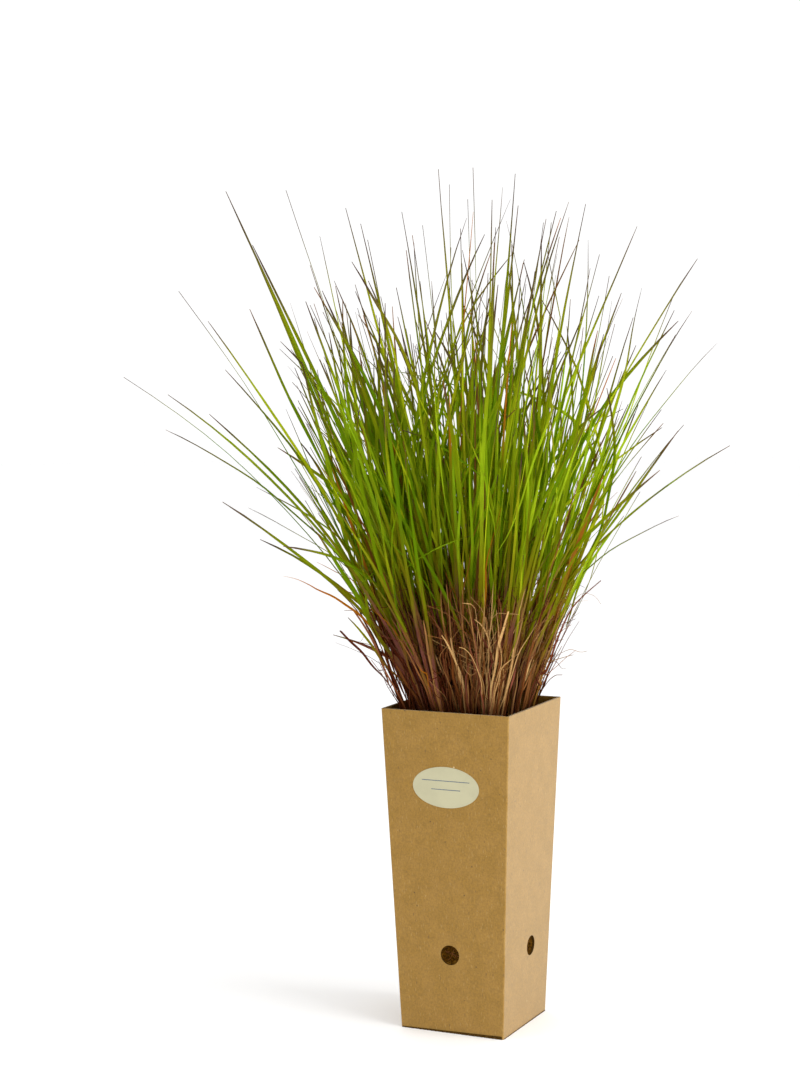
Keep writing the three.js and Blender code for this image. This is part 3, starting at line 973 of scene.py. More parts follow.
def share_outline(leaders):
    """Give each long leaf of the outline to the free leader that leans its way, and put those first."""
    chosen = []
    for across, up, toward in OUTLINE:
        x, y = from_view(across, toward)
        reach = OUTLINE_REACH * (POT_HEIGHT + up - SOIL_TOP)

        def miss(root):
            aim = root.start[:2] + np.array(root.slope) * reach
            return math.hypot(aim[0] - x, aim[1] - y)

        best = min((root for root in leaders if root.tip is None), key=miss)
        best.tip = np.array((x, y, POT_HEIGHT + up))
        chosen.append(best)
    return chosen + [root for root in leaders if root.tip is None]


def shortening(lean):
    """A free blade is shorter the more it leans."""
    return 1 - LEAN_LOSS * math.hypot(lean[0], lean[1])


def leader_try(root, draw, ease):
    """One try at a leader: a flattened shoot, and the long leaf that goes on from it."""
    spread = between(LEADER["spread"], ease)
    lean = [TIP_SLOPE * root.fan[side] + CLUMP_LEAN[side] + spread * sway(draw) for side in (0, 1)]
    tip = point_along(root.start, lean, between(LEADER["length"], draw()) * shortening(lean))
    nudge = np.array([sway(draw) for _ in range(3)])
    if root.tip is not None:
        tip = root.tip + nudge * LEADER["nudge"] * ease
    curve = bow_to(root.start, root.slope, tip, between(LEADER["bow"], draw()))
    breadth = between(LEADER["breadth"], draw())
    return curve, breadth, root.turn + math.pi / 2 + LEADER["twist"] * sway(draw)


def leaf_try(root, draw, ease):
    """One try at a thinner leaf, which leans away from the middle of its crown."""
    part = between(LEAF["part"], draw())
    spread = between(LEAF["spread"], ease)
    first = [root.slope[side] + LEAF["flare"] * root.out[side] for side in (0, 1)]
    lean = [
        LEAF["fan"] * root.slope[side] + part * root.out[side] + spread * sway(draw) for side in (0, 1)
    ]
    long = between(LEAF["length"], draw()) * (1 - between(LEAF["loss"], ease)) * shortening(lean)
    curve = bow_to(root.start, first, point_along(root.start, lean, long), between(LEAF["bow"], draw()))
    breadth = between(LEAF["breadth"], draw())
    return curve, breadth, root.turn + math.pi / 2 + LEAF["twist"] * sway(draw)


def stub_try(root, draw, ease):
    """One try at a dead stub: short, blunt, and often bent over near its end."""
    spread = between(STUB["spread"], ease)
    first = [root.slope[side] + STUB["flare"] * root.out[side] for side in (0, 1)]
    lean = [part + spread * sway(draw) for part in first]
    long = between(STUB["length"], draw()) * (1 - between(STUB["loss"], ease))
    tip = point_along(root.start, lean, long)
    bent = STUB["bent"] if draw() < STUB["bent_share"] else STUB["straight"]
    tip = tip + np.array((bent * sway(draw), bent * sway(draw), 0))
    curve = bow_to(root.start, first, tip, STUB["bow"])
    return curve, between(STUB["breadth"], draw()), root.turn + math.pi / 2


KINDS = {"leader": (LEADER, leader_try), "stub": (STUB, stub_try), "leaf": (LEAF, leaf_try)}


def grow(thicket, kind, root, seed):
    """A blade, tried with other random draws until it is clear of the blades before it."""
    form, propose = KINDS[kind]
    widths = np.array(form["widths"], float)
    for attempt in range(TRIES):
        draw = random_from(seed * TRIES + attempt)
        curve, breadth, twist = propose(root, draw, attempt / TRIES)
        rows = stretches_of(along_curve(curve, form["times"]), widths * breadth, root.owner)
        if thicket.is_clear(rows):
            thicket.add(rows)
            return Grown(root.owner, kind, curve, breadth, twist, root.tip)
    return None


@functools.cache
def clump():
    """The blades of each living tuft and of each dead bunch, in the order of their nodes."""
    roots = {"leader": [], "stub": [], "leaf": []}
    living, dead = [], []
    for i, crown in enumerate(crown_places()):
        turn = random_from(FIRST_SEED["crown"] + i)() * 2 * math.pi
        if is_thatch(crown, i):
            dead.append(i)
            roots["stub"] += roots_of(crown, i, STUB, turn)
        else:
            living.append(i)
            roots["leader"] += roots_of(crown, i, LEADER, turn)
            roots["leaf"] += roots_of(crown, i, LEAF, turn + math.pi / LEAF["count"])
    roots["leader"] = share_outline(roots["leader"])
    thicket = Thicket()
    tries = []
    for kind, starts in roots.items():
        tries += [grow(thicket, kind, root, FIRST_SEED[kind] + i) for i, root in enumerate(starts)]
    by_owner = {i: [blade for blade in tries if blade and blade.owner == i] for i in living + dead}
    return [by_owner[i] for i in living], [by_owner[i] for i in dead]


# Fine blades. Each is a strip of rings that is laid along its spine.
RINGS = 17
TIMES = np.linspace(0, 1, RINGS)
CORNERS = 4
BLADE_ANGLE = 50
REACH_SCALE = 0.06
# The waves that a spine strays in, any turn about a blade, and a short step ahead along one.
BEATS = (1.5, 3.2, 5.5)
ANY_TURN = 6.3
AHEAD = 0.02
# Millimetres: the least width, how near a neighbour stands, and how far a leaf may droop or miss its tip.
FINEST = 1.0
NEAR = 26.0
DROOP = 45.0
MISS = 22.0
# A leaf that reaches out past the clump stands alone: it is wider and darker, and starts higher.
CLUMP_REACH = 120.0
LONE_REACH = 175.0
LONE_RISE = 0.35
LONE_FINEST = 1.5
LONE_TINT = 0.7
# Painted light: how much brighter a green blade is painted per millimetre towards the side that the key
# light falls on.
PAINTED_LIGHT_SIDE = 0.0007
# The dry growth: the share that folds sharply, the way to its loose side, where that begins, and
# how far over the rim a bent end stays.
FOLDED = 0.65
STRAW_SIDE = -0.2
SHELTERED = -0.15
CLEAR = 38.0
ROOM_LOW, ROOM_HIGH = (np.array(corner) / MM for corner in CAD_BOX)
# How wide each kind of fine blade is along its length: the shares of the length, and the widths there.
TAPERS = {
    "slimmer": ((0, 0.15, 0.4, 0.7, 1), (1.0, 0.88, 0.86, 1.25, 1.6)),
    "leaf": ((0, 0.12, 0.55, 0.8, 0.93, 1), (0.5, 0.75, 1, 0.82, 0.5, 0.1)),
    "outline": ((0, 0.12, 0.55, 0.8, 0.93, 1), (0.5, 0.9, 1, 0.75, 0.45, 0.15)),
    "dying": ((0, 0.2, 0.6, 1), (0.8, 1, 0.8, 0.15)),
    "husk": ((0, 0.25, 0.7, 0.92, 1), (0.7, 1, 0.85, 0.5, 0.2)),
    "curl": ((0, 0.6, 1), (1, 0.8, 0.3)),
    "scrap": ((0, 0.3, 0.8, 1), (0.7, 1, 0.75, 0.35)),
    "stray": ((0, 0.5, 1), (1, 0.9, 0.6)),
    "litter": ((0, 0.5, 1), (0.6, 1, 0.5)),
}


def taper(kind):
    """The widths of a kind of blade at every ring."""
    return np.interp(TIMES, *TAPERS[kind])


@dataclass
class Blade:
    """A fine blade: its spine, its widths and keels, how it turns, and what its finish depends on."""

    spine: np.ndarray
    widths: np.ndarray
    keels: np.ndarray
    turn: float
    winding: float = 0.0
    tint: float = 0.5
    age: float = 0.0
    sheath: float = 80.0
    tip: float = 90.0
    foot: float = 0.0
    torn: float = 0.0


@functools.cache
def master_blade():
    """A closed four-sided strip of RINGS rings, modelled once. Every blade is a copy laid on its spine."""
    begin()
    bpy.ops.mesh.primitive_circle_add(vertices=CORNERS, radius=1, fill_type="NGON")
    strip = settle("blade")
    with edit(strip):
        bpy.ops.mesh.select_all(action="SELECT")
        for _ in range(RINGS - 1):
            bpy.ops.mesh.extrude_region_move(TRANSFORM_OT_translate={"value": (0, 0, 1)})
        bpy.ops.mesh.select_all(action="SELECT")
        bpy.ops.mesh.normals_make_consistent(inside=False)
    spots = places(strip)
    ring = np.rint(spots[:, 2]).astype(int)
    corner = np.rint(np.arctan2(spots[:, 1], spots[:, 0]) / (math.pi / 2)).astype(int) % CORNERS
    index = ring * CORNERS + corner
    faces = [[int(index[v]) for v in face.vertices] for face in strip.data.polygons]
    bpy.data.objects.remove(strip)
    return faces


def unit(vectors):
    """Vectors of length one."""
    return vectors / np.maximum(np.linalg.norm(vectors, axis=-1, keepdims=True), 1e-12)


def lay(blades):
    """The corners of all the blades: for each blade and ring, right edge, channel, left edge and keel."""
    spine = np.array([blade.spine for blade in blades])
    turn = np.array([blade.turn for blade in blades])
    along = unit(np.gradient(spine, axis=1))
    wide = np.empty_like(spine)
    before = np.stack([np.cos(turn), np.sin(turn), np.zeros_like(turn)], 1)
    for ring in range(RINGS):
        flat = before - along[:, ring] * (before * along[:, ring]).sum(1, keepdims=True)
        before = unit(flat)
        wide[:, ring] = before
    deep = np.cross(along, wide)
    wound = np.array([blade.winding for blade in blades])[:, None] * TIMES
    c, s = np.cos(wound)[..., None], np.sin(wound)[..., None]
    wide, deep = wide * c + deep * s, deep * c - wide * s
    half = np.array([blade.widths for blade in blades])[..., None] / 2
    keel = np.array([blade.keels for blade in blades])[..., None]
    return np.stack(
        [
            spine + wide * half - deep * keel * 0.5,
            spine - deep * keel * 0.1,
            spine - wide * half - deep * keel * 0.5,
            spine + deep * keel * 0.5,
        ],
        2,
    )


def tear(corners, blades, draw):
    """Leave the ends of the torn blades ragged."""
    for i, blade in enumerate(blades):
        if blade.torn:
            way = unit(corners[i, -1].mean(0) - corners[i, -2].mean(0))
            corners[i, -1] += way * draw.uniform(-0.2, 1, (CORNERS, 1)) * blade.torn


def blade_mesh(name, blades, draw):
    """One mesh of all these blades, with the numbers that their finish reads."""
    corners = lay(blades)
    tear(corners, blades, draw)
    starts = range(0, len(blades) * RINGS * CORNERS, RINGS * CORNERS)
    faces = [[v + start for v in face] for start in starts for face in master_blade()]
    piece = piece_of(name, corners.reshape(-1, 3) * MM, faces, BLADE_ANGLE)
    number_blades(piece.data, blades)
    return piece


def number_blades(mesh, blades):
    """Write the attributes: place across and along, reach, tint, age, and shares of sheath and tip."""
    spine = np.array([blade.spine for blade in blades])
    gaps = np.linalg.norm(np.diff(spine, axis=1), axis=2)
    reach = np.concatenate([np.zeros((len(blades), 1)), np.cumsum(gaps, 1)], 1)

    def each(name):
        return np.array([getattr(blade, name) for blade in blades])[:, None]

    root = reach + each("foot")
    rows = {
        "across": np.array((1.0, 0.0, -1.0, 0.0)),
        "along": TIMES[None, :, None],
        "reach": root[..., None] * REACH_SCALE,
        "tint": each("tint")[..., None],
        "age": each("age")[..., None],
        "sheath": np.clip(root / each("sheath"), 0, 2)[..., None],
        "tip": np.clip(1 - (reach[:, -1:] - reach) / each("tip"), 0, 1)[..., None],
    }
    for name, row in rows.items():
        values = np.broadcast_to(row, (len(blades), RINGS, CORNERS)).astype(np.float32).ravel()
        mesh.attributes.new(name, "FLOAT", "POINT").data.foreach_set("value", values)


def one_of(blades, draw):
    """Any one of some blades."""
    return blades[draw.integers(len(blades))]


def full_length(blade):
    """The straight length of a grown blade from its root to its tip."""
    return np.linalg.norm(blade.curve[2] - blade.curve[0])


def offshoot(blade, share):
    """The place on a grown blade that a leaf leaves at, and the slope there."""
    start, ahead = along_curve(blade.curve, (share, share + AHEAD))
    way = ahead - start
    return start, way[:2] / way[2]


def keel(widths, share=0.28, least=0.08):
    """How deep a flat blade's keel is."""
    return np.maximum(widths * share, least)


def wander(spine, draw, reach=1.8):
    """Let a spine stray a little from its curve, but not at its root or its tip."""
    free = (TIMES * (1 - TIMES) * 4)[:, None]
    waves = sum(
        np.sin(math.pi * TIMES[:, None] * beat + draw.uniform(0, ANY_TURN, 3)) / beat for beat in BEATS
    )
    return spine + free * waves * reach


def kinked(spine, draw, share):
    """Now and then, bend the end of a blade over."""
    if draw.random() > share:
        return spine
    ring = int(draw.integers(RINGS * 6 // 10, RINGS - 2))
    tail = spine[ring:] - spine[ring]
    way = unit(draw.normal(size=3)) * np.linalg.norm(tail[-1]) * draw.uniform(0.15, 0.45)
    bent = tail + np.linspace(0, 1, len(tail))[:, None] * way
    long = np.linalg.norm(tail, axis=1, keepdims=True)
    result = spine.copy()
    result[ring:] = spine[ring] + unit(bent) * long
    return result


def rolled(spine, ring, bend, draw):
    """Bend the end of a spine over by an angle, from one ring on: in one fold, or rolled."""
    steps = np.linalg.norm(np.diff(spine[ring:], axis=0), axis=1)
    rings = 2 if draw.random() < FOLDED else len(steps)
    way = unit(spine[ring] - spine[ring - 1])
    side = unit(np.cross(way, draw.normal(size=3)))
    angle = bend * np.minimum(1, np.arange(1, len(steps) + 1)[:, None] / rings)
    moves = (way * np.cos(angle) + side * np.sin(angle)) * steps[:, None]
    result = spine.copy()
    result[ring + 1 :] = spine[ring] + np.cumsum(moves, 0)
    return result


def lean_out(tip, near, far):
    """A number that grows from one to another as a tip stands further out to a side."""
    return np.interp(math.hypot(tip[0], tip[1]), (CLUMP_REACH, LONE_REACH), (near, far))


def dark_end(tip, draw):
    """How much of a blade's end is dark: more where it stands out of the clump, above or to a side."""
    high = np.interp(tip[2] - POT_HEIGHT, (200, 420), (0.12, 1.3))
    return max(high, lean_out(tip, 0, 0.7)) * draw.uniform(90, 210)


def no_finer(widths, tip):
    """Keep a blade from being too fine to see, more so where it stands out to a side."""
    least = lean_out(tip, FINEST, LONE_FINEST)
    return np.append(np.maximum(widths[:-1], least), max(widths[-1], FINEST / 2))


def straw_side(spot):
    """How far a root lies towards the side where the straw is loose: 1 at the clump's edge there."""
    return (spot[0] * math.cos(STRAW_SIDE) + spot[1] * math.sin(STRAW_SIDE)) / STAND


def paleness(spot, draw):
    """How pale a dry leaf is: most are paler on the side where the thatch is thick."""
    side = min(1, max(-0.25, straw_side(spot)))
    return min(1, max(0, 0.18 + 0.5 * side + draw.normal(0, 0.28 + 0.12 * side)))


def green_tint(spine, draw):
    """How bright a green blade is: painted a little brighter towards the clump's side that the key light
    falls on.
    """
    return min(1, max(0, draw.random() + PAINTED_LIGHT_SIDE * spine[-1, 0]))


def tapered(form, breadth):
    """The widths and keels of a form at every ring, drawn out to a fine tip."""
    widths = np.interp(TIMES, form["times"], form["widths"]) * breadth * taper("slimmer")
    keels = np.interp(TIMES, form["times"], form["keels"]) * np.linspace(0.75, 0.4, RINGS)
    return widths, np.maximum(keels, FINEST * 0.4)


def dressed(grown, draw):
    """The fine blade that a grown one stands for."""
    widths, keels = tapered(KINDS[grown.kind][0], grown.breadth)
    spine = wander(along_curve(grown.curve, TIMES), draw)
    widths = no_finer(widths, spine[-1])
    if grown.kind == "stub":
        return dressed_stub(grown, spine, widths, keels, draw)
    if grown.wish is None:
        spine = kinked(spine, draw, 0.1)
    oldest = 0.25 if grown.kind == "leader" else 0.45
    aged = draw.random() < 0.05 and grown.wish is None
    age = draw.uniform(0.1, oldest) if aged else draw.uniform(0, 0.06)
    winding = draw.normal(0, 0.7)
    tint = green_tint(spine, draw) * (LONE_TINT if is_lone(grown) else 1)
    sheath = draw.uniform(100, 175) if grown.kind == "leader" else draw.uniform(85, 160)
    return Blade(spine, widths, keels, grown.twist, winding, tint, age, sheath, dark_end(spine[-1], draw))


def dressed_stub(grown, spine, widths, keels, draw):
    """A torn straw for a dead stub, often bent over where the thatch is loose."""
    breadth = draw.uniform(0.35, 0.7)
    if draw.random() < 0.5 and straw_side(spine[0]) > SHELTERED:
        spine = rolled(spine, int(draw.integers(RINGS * 7 // 10, RINGS - 2)), draw.uniform(0.3, 1.5), draw)
        breadth *= 0.6
    winding, tint = draw.uniform(-0.9, 0.9), paleness(spine[0], draw)
    torn = draw.uniform(2, 7)
    return Blade(spine, widths * breadth, keels * 0.6, grown.twist, winding, tint, torn=torn)


def side_leaf(parents, near, draw):
    """A thin leaf that leaves one blade of the tuft and ends among its own and its neighbours' tips."""
    first = one_of(parents, draw)
    second = max((one_of(near, draw) for _ in range(3)), key=lambda blade: blade.curve[2][2])
    start, slope = offshoot(first, draw.uniform(0.12, 0.55))
    stray_off = 2.8 if draw.random() < 0.36 else 1
    slope = slope + draw.normal(0, 0.09, 2) * stray_off
    share = draw.uniform(0, 0.8)
    goal = first.curve[2] * share + second.curve[2] * (1 - share)
    tip = start + (goal - start) * draw.uniform(0.7, 1.06)
    tip += draw.normal(0, 14, 3) * stray_off
    tip[2] -= DROOP * draw.random() ** 6
    tip = np.clip(tip, ROOM_LOW, ROOM_HIGH)
    curve = bow_to(start, slope, tip, draw.uniform(0.3, 0.55))
    widths = no_finer(draw.uniform(1.9, 3.6) * taper("leaf"), tip)
    spine = kinked(wander(along_curve(curve, TIMES), draw), draw, 0.12)
    age = draw.uniform(0.3, 1.0) if draw.random() < 0.05 else draw.uniform(0, 0.1)
    turn, winding = draw.uniform(0, 2 * math.pi), draw.normal(0, 1.2)
    tint, sheath = green_tint(spine, draw), draw.uniform(60, 130)
    foot = np.linalg.norm(start - first.curve[0])
    return Blade(
        spine, widths, keel(widths), turn, winding, tint, age, sheath, dark_end(tip, draw), foot=foot
    )


def outline_leaf(first, draw):
    """A leaf that goes on to the tip that a long leaf of the outline had to miss."""
    start, slope = offshoot(first, LONE_RISE)
    tip = np.clip(first.wish, ROOM_LOW, ROOM_HIGH)
    spine = wander(along_curve(bow_to(start, slope, tip, 0.45), TIMES), draw)
    widths = no_finer(2.6 * taper("outline"), tip)
    winding, tint = draw.normal(0, 0.7), draw.random() * LONE_TINT
    foot = np.linalg.norm(start - first.curve[0])
    return Blade(
        spine, widths, keel(widths), first.twist, winding, tint, 0.05, 110, dark_end(tip, draw), foot=foot
    )


def misses(blade):
    """Whether a long leaf of the outline ends far from where it should."""
    return blade.wish is not None and np.linalg.norm(blade.curve[2] - blade.wish) > MISS


def dying_leaf(parents, draw):
    """A low leaf that has died: rust or brown, twisted, and often bent down."""
    first = one_of(parents, draw)
    rise = draw.uniform(15, 110) / full_length(first)
    start, slope = offshoot(first, rise)
    lean = slope + draw.normal(0, 0.28, 2)
    tip = point_along(start, lean, draw.uniform(35, 125))
    tip[2] -= 25 * draw.random() ** 2
    spine = wander(along_curve(bow_to(start, slope, tip, 0.5), TIMES), draw, 2.2)
    widths = draw.uniform(0.9, 2.1) * taper("dying")
    spine = kinked(spine, draw, 0.4)
    turn, winding, tint = draw.uniform(0, ANY_TURN), draw.normal(0, 1.5), draw.random()
    age, sheath, dark = draw.uniform(0.75, 1.2), draw.uniform(60, 130), draw.uniform(10, 60)
    foot = rise * full_length(first)
    return Blade(spine, widths, keel(widths, 0.25, 0.1), turn, winding, tint, age, sheath, dark, foot=foot)


def neighbours(tufts, i):
    """The blades of the tufts that stand near a tuft, its own among them."""
    middles = [np.mean([blade.curve[0][:2] for blade in tuft], 0) for tuft in tufts]
    near = [tuft for tuft, middle in zip(tufts, middles) if np.linalg.norm(middles[i] - middle) < NEAR]
    return [blade for tuft in near for blade in tuft]


def is_lone(blade):
    """Whether a blade leans so far out that it stands alone."""
    return math.hypot(blade.curve[2][0], blade.curve[2][1]) > LONE_REACH


def husk(parents, draw):
    """An old sheath that clings to the foot of a shoot, and stands off a little at its end."""
    parent = one_of(parents, draw)
    end = min(0.9, draw.uniform(35, 120) / full_length(parent))
    spine = along_curve(parent.curve, TIMES * end)
    outward = unit(spine[-1, :2] * draw.uniform(0.5, 1.2, 2) + draw.normal(0, 12, 2))
    stand_off = draw.uniform(0, 3) if draw.random() < 0.9 else draw.uniform(3, 8)
    if straw_side(spine[0]) < SHELTERED:
        stand_off *= 0.15
    spine[:, :2] += outward * (draw.uniform(0.6, 1.8) + stand_off * TIMES**2.5)[:, None]
    widths = draw.uniform(1.2, 2.9) * taper("husk")
    spine = wander(spine, draw, 1.1)
    turn = math.atan2(outward[1], outward[0]) + math.pi / 2 + draw.normal(0, 0.5)
    winding, tint, torn = draw.normal(0, 0.5), paleness(spine[0], draw), draw.uniform(1, 5)
    return Blade(spine, widths, np.full(RINGS, 0.4), turn, winding, tint, torn=torn)


def curl(parents, draw, size):
    """A fine dry curl that hangs from a blade near the foot of the clump."""
    parent = one_of(parents, draw)
    start = along_curve(parent.curve, (min(0.85, draw.uniform(20, 120) / full_length(parent)),))[0]
    out = 0.3 if straw_side(start) > SHELTERED else -0.8
    way = unit(np.array((*(start[:2] / STAND * out + draw.normal(0, 0.6, 2)), draw.normal(0.6, 0.5))))
    side = unit(np.cross(way, draw.normal(size=3)))
    over = np.cross(way, side)
    reach = draw.uniform(3, 15) * size
    coil = draw.uniform(2, 6) * size
    turns = draw.uniform(1.5, 5) * TIMES
    swell = (TIMES * draw.uniform(0.4, 1.2))[:, None]
    spine = start + way * (reach * TIMES)[:, None]
    spine = spine + side * (coil * (np.cos(turns) - 1))[:, None] * swell
    spine = spine + over * (coil * np.sin(turns))[:, None]
    widths = draw.uniform(0.5, 0.95) * taper("curl")
    turn, winding = draw.uniform(0, ANY_TURN), draw.normal(0, 2.5)
    return Blade(spine, widths, keel(widths, 0.3), turn, winding, paleness(start, draw))


def scrap(parents, draw):
    """A broken flat straw. Some are bent over near their end."""
    curve = one_of(parents, draw).curve
    root = curve[0] + np.array((*draw.normal(0, 2.2, 2), -1))
    slope = (curve[1] - curve[0])[:2] / (curve[1] - curve[0])[2]
    is_open = straw_side(root) > SHELTERED
    crossing = 0.2 if draw.random() < 0.4 and is_open else 0.09
    slope = slope * (0.85 if is_open else 0.6)
    lean = slope + draw.normal(0, crossing, 2)
    tip = point_along(root, lean, draw.uniform(35, 122))
    spine = wander(along_curve(bow_to(root, slope, tip, 0.4), TIMES), draw)
    breadth = 0.7 + 2.1 * draw.random() ** 1.9
    if draw.random() < 0.6 and is_open:
        bent = rolled(spine, int(draw.integers(RINGS * 5 // 10, RINGS - 2)), draw.gamma(2.2, 0.6), draw)
        breadth *= 0.65
        spine = bent if bent[-1, 2] > POT_HEIGHT + CLEAR else spine
    turn, winding = draw.uniform(0, ANY_TURN), draw.normal(0, 1.0)
    tint, torn = paleness(root, draw), draw.uniform(2, 8)
    return Blade(spine, breadth * taper("scrap"), np.full(RINGS, 0.35), turn, winding, tint, torn=torn)


# Strays at the clump's foot: places across, up over the rim and towards the eye, then the width and tint.
STRAYS = (
    (((-68, 30, 15), (-81, 39, 15), (-96, 46, 15), (-109, 51, 15)), 0.55, 0.3),
    (((-64, 28, 25), (-68, 43, 25), (-76, 49, 25), (-86, 52, 25), (-95, 53, 25)), 0.6, 0.5),
    (((-66, 20, 30), (-75, 50, 30), (-86, 72, 30), (-96, 85, 30), (-106, 95, 30)), 1.2, 0.4),
    (((59, 27, 20), (67, 53, 20), (78, 78, 20), (90, 90, 20), (102, 100, 20)), 2.3, 0.2),
    (((54, 17, 35), (66, 37, 35), (75, 55, 35), (84, 69, 35)), 1.4, 0.15),
    (((60, 30, 20), (67, 41, 20), (78, 46, 20), (83, 44, 20), (87, 43, 20), (91, 44, 20)), 0.8, 0.8),
    (((58, 28, 20), (64, 37, 20), (68, 35, 20), (71, 30, 20), (74, 30, 20)), 0.7, 0.7),
    (((55, 12, 20), (61, 21, 20), (65, 24, 20), (67, 25, 20), (71, 25, 20)), 0.8, 0.6),
    (((74, 70, 20), (81, 85, 20), (87, 90, 20), (92, 90, 20), (98, 88, 20), (102, 82, 20)), 0.8, 0.8),
    (((-80, 58, 25), (-91, 75, 25), (-94, 78, 25), (-97, 78, 25), (-101, 78, 25)), 0.7, 0.5),
)


def hold_on(spot):
    """The nearest place on a blade of the clump."""
    living, dead = clump()
    spots = np.vstack([along_curve(blade.curve, TIMES) for tuft in living + dead for blade in tuft])
    return spots[np.argmin(np.linalg.norm(spots - spot, axis=1))]


def stray(points, breadth, tint):
    """One of the strays, smooth through its points, from the blade that holds it."""
    knots = np.array([(*from_view(across, toward), POT_HEIGHT + up) for across, up, toward in points])
    knots = np.vstack([hold_on(knots[0]), knots])
    spots = np.linspace(0, len(knots) - 1, RINGS)
    spine = np.stack([np.interp(spots, range(len(knots)), knots[:, axis]) for axis in range(3)], 1)
    spine[1:-1] = (spine[:-2] + 2 * spine[1:-1] + spine[2:]) / 4
    widths = breadth * taper("stray")
    return Blade(spine, widths, keel(widths, 0.35, 0.1), VIEW_TURN, 0.6, tint, torn=1.0)


# The soil. A dish is the hollow behind a hole.
SOIL_CUTS = 44
SOIL_ROUGH = 0.003
SOIL_PLAY = 0.0002
DISH = 0.0105
DISH_OUT = 0.0068
DISH_REACH = 0.85
CRUMB_KINDS = 3
CRUMB_ANGLE = 35
CRUMB_MARGIN = 0.002
LITTER_MARGIN = 3
LITTER_FOOT = 30
THREADS = 3
THREADS_IN = 0.0012
THREAD_FOOT = 40
UP = np.array((0.0, 0.0, 1.0))


def soil_body(pot):
    """The soil: a block that fills the carton, with a rough top and a hollow behind each hole."""
    top = SOIL_TOP * MM
    gap = pot.board + SOIL_PLAY
    low, high = (2 * (half_width(pot, z) - gap) for z in (SOIL_FOOT, top))
    begin()
    bpy.ops.mesh.primitive_cube_add(
        size=1, location=(0, 0, (SOIL_FOOT + top) / 2), scale=(low, low, top - SOIL_FOOT)
    )
    body = settle("potting_soil")
    with edit(body):
        select(body, "FACE", is_top(top))
        bpy.ops.transform.resize(value=(high / low, high / low, 1), center_override=(0, 0, top))
        bpy.ops.mesh.subdivide(number_cuts=SOIL_CUTS)
    spots = places(body)
    inner = (np.abs(spots[:, :2]).max(1) < high / 2 - 1e-4) & (spots[:, 2] > top - 1e-4)
    body.vertex_groups.new(name="top").add(np.flatnonzero(inner).tolist(), 1, "REPLACE")
    lumps = clouds("soil_clouds", 0.006, 3)
    way = {"direction": "Z", "vertex_group": "top"}
    apply(body, "DISPLACE", texture=lumps, strength=SOIL_ROUGH, mid_level=0.5, **way)
    for spot, _ in hole_sides(pot, gap - DISH_OUT):
        begin()
        bpy.ops.mesh.primitive_uv_sphere_add(segments=28, ring_count=18, radius=DISH, location=spot)
        cut(body, settle("dish"))
    return body


def clouds(name, scale, depth=2):
    """A cloudy texture that a surface is displaced by."""
    texture = bpy.data.textures.new(name, "CLOUDS")
    texture.noise_scale = scale
    texture.noise_depth = depth
    return texture


def hole_sides(pot, inward):
    """For each of the four holes, a spot some way in from the carton's outer face, and the way out."""
    z = pot.hole_height
    out = half_width(pot, z) - inward
    ways = (((0, -1), 0), ((1, 0), pot.side_shift), ((0, 1), 0), ((-1, 0), pot.side_shift))
    return [((out * x, out * y + shift, z), np.array((x, y, 0.0))) for (x, y), shift in ways]


@functools.cache
def master_crumbs():
    """A few lumpy crumbs, modelled once: their points and their faces."""
    made = []
    for kind in range(CRUMB_KINDS):
        begin()
        bpy.ops.mesh.primitive_ico_sphere_add(subdivisions=2, radius=1)
        crumb = settle("crumb")
        lumps = clouds(f"crumb_lumps_{kind}", 0.7 + 0.25 * kind)
        apply(crumb, "DISPLACE", texture=lumps, strength=1.1, mid_level=0.6)
        made.append((places(crumb), [list(face.vertices) for face in crumb.data.polygons]))
        bpy.data.objects.remove(crumb)
    return made


def turned_at_random(spots, draw):
    """Points turned any way round."""
    axes, _ = np.linalg.qr(draw.normal(size=(3, 3)))
    if np.linalg.det(axes) < 0:
        axes[:, 0] *= -1
    return spots @ axes.T


def crumb_heap(name, spots, sizes, draw):
    """Copies of the crumbs at these places, as one mesh."""
    points, faces = [], []
    count = 0
    for spot, size in zip(spots, sizes):
        shape, sides = master_crumbs()[draw.integers(CRUMB_KINDS)]
        points.append(turned_at_random(shape * draw.uniform(0.55, 1.1, 3), draw) * size + spot)
        faces += [[v + count for v in side] for side in sides]
        count += len(shape)
    return piece_of(name, np.vstack(points), faces, CRUMB_ANGLE)


def top_crumbs(pot, soil, draw):
    """Crumbs strewn over the soil."""
    reach = half_width(pot, SOIL_TOP * MM) - pot.board - CRUMB_MARGIN
    spots = draw.uniform(-reach, reach, (soil.crumbs, 3))
    spots[:, 2] = SOIL_TOP * MM + draw.uniform(-0.0002, 0.001, soil.crumbs)
    return crumb_heap("crumbs", spots, draw.gamma(3, 0.00035, soil.crumbs) + 0.0004, draw)


def hole_crumbs(pot, soil, draw):
    """Crumbs that line the hollow behind each hole."""
    spots = []
    for middle, outward in hole_sides(pot, pot.board + SOIL_PLAY - DISH_OUT):
        turn = draw.uniform(0, 2 * math.pi, (soil.hole_crumbs, 1))
        off = DISH_REACH * np.sqrt(draw.random((soil.hole_crumbs, 1)))
        beside = np.cos(turn) * np.cross(-outward, UP) + np.sin(turn) * UP
        spots.append(np.array(middle) + unit(beside * off - outward) * DISH)
    spots = np.vstack(spots)
    return crumb_heap("hole_crumbs", spots, draw.uniform(0.0006, 0.0016, len(spots)), draw)


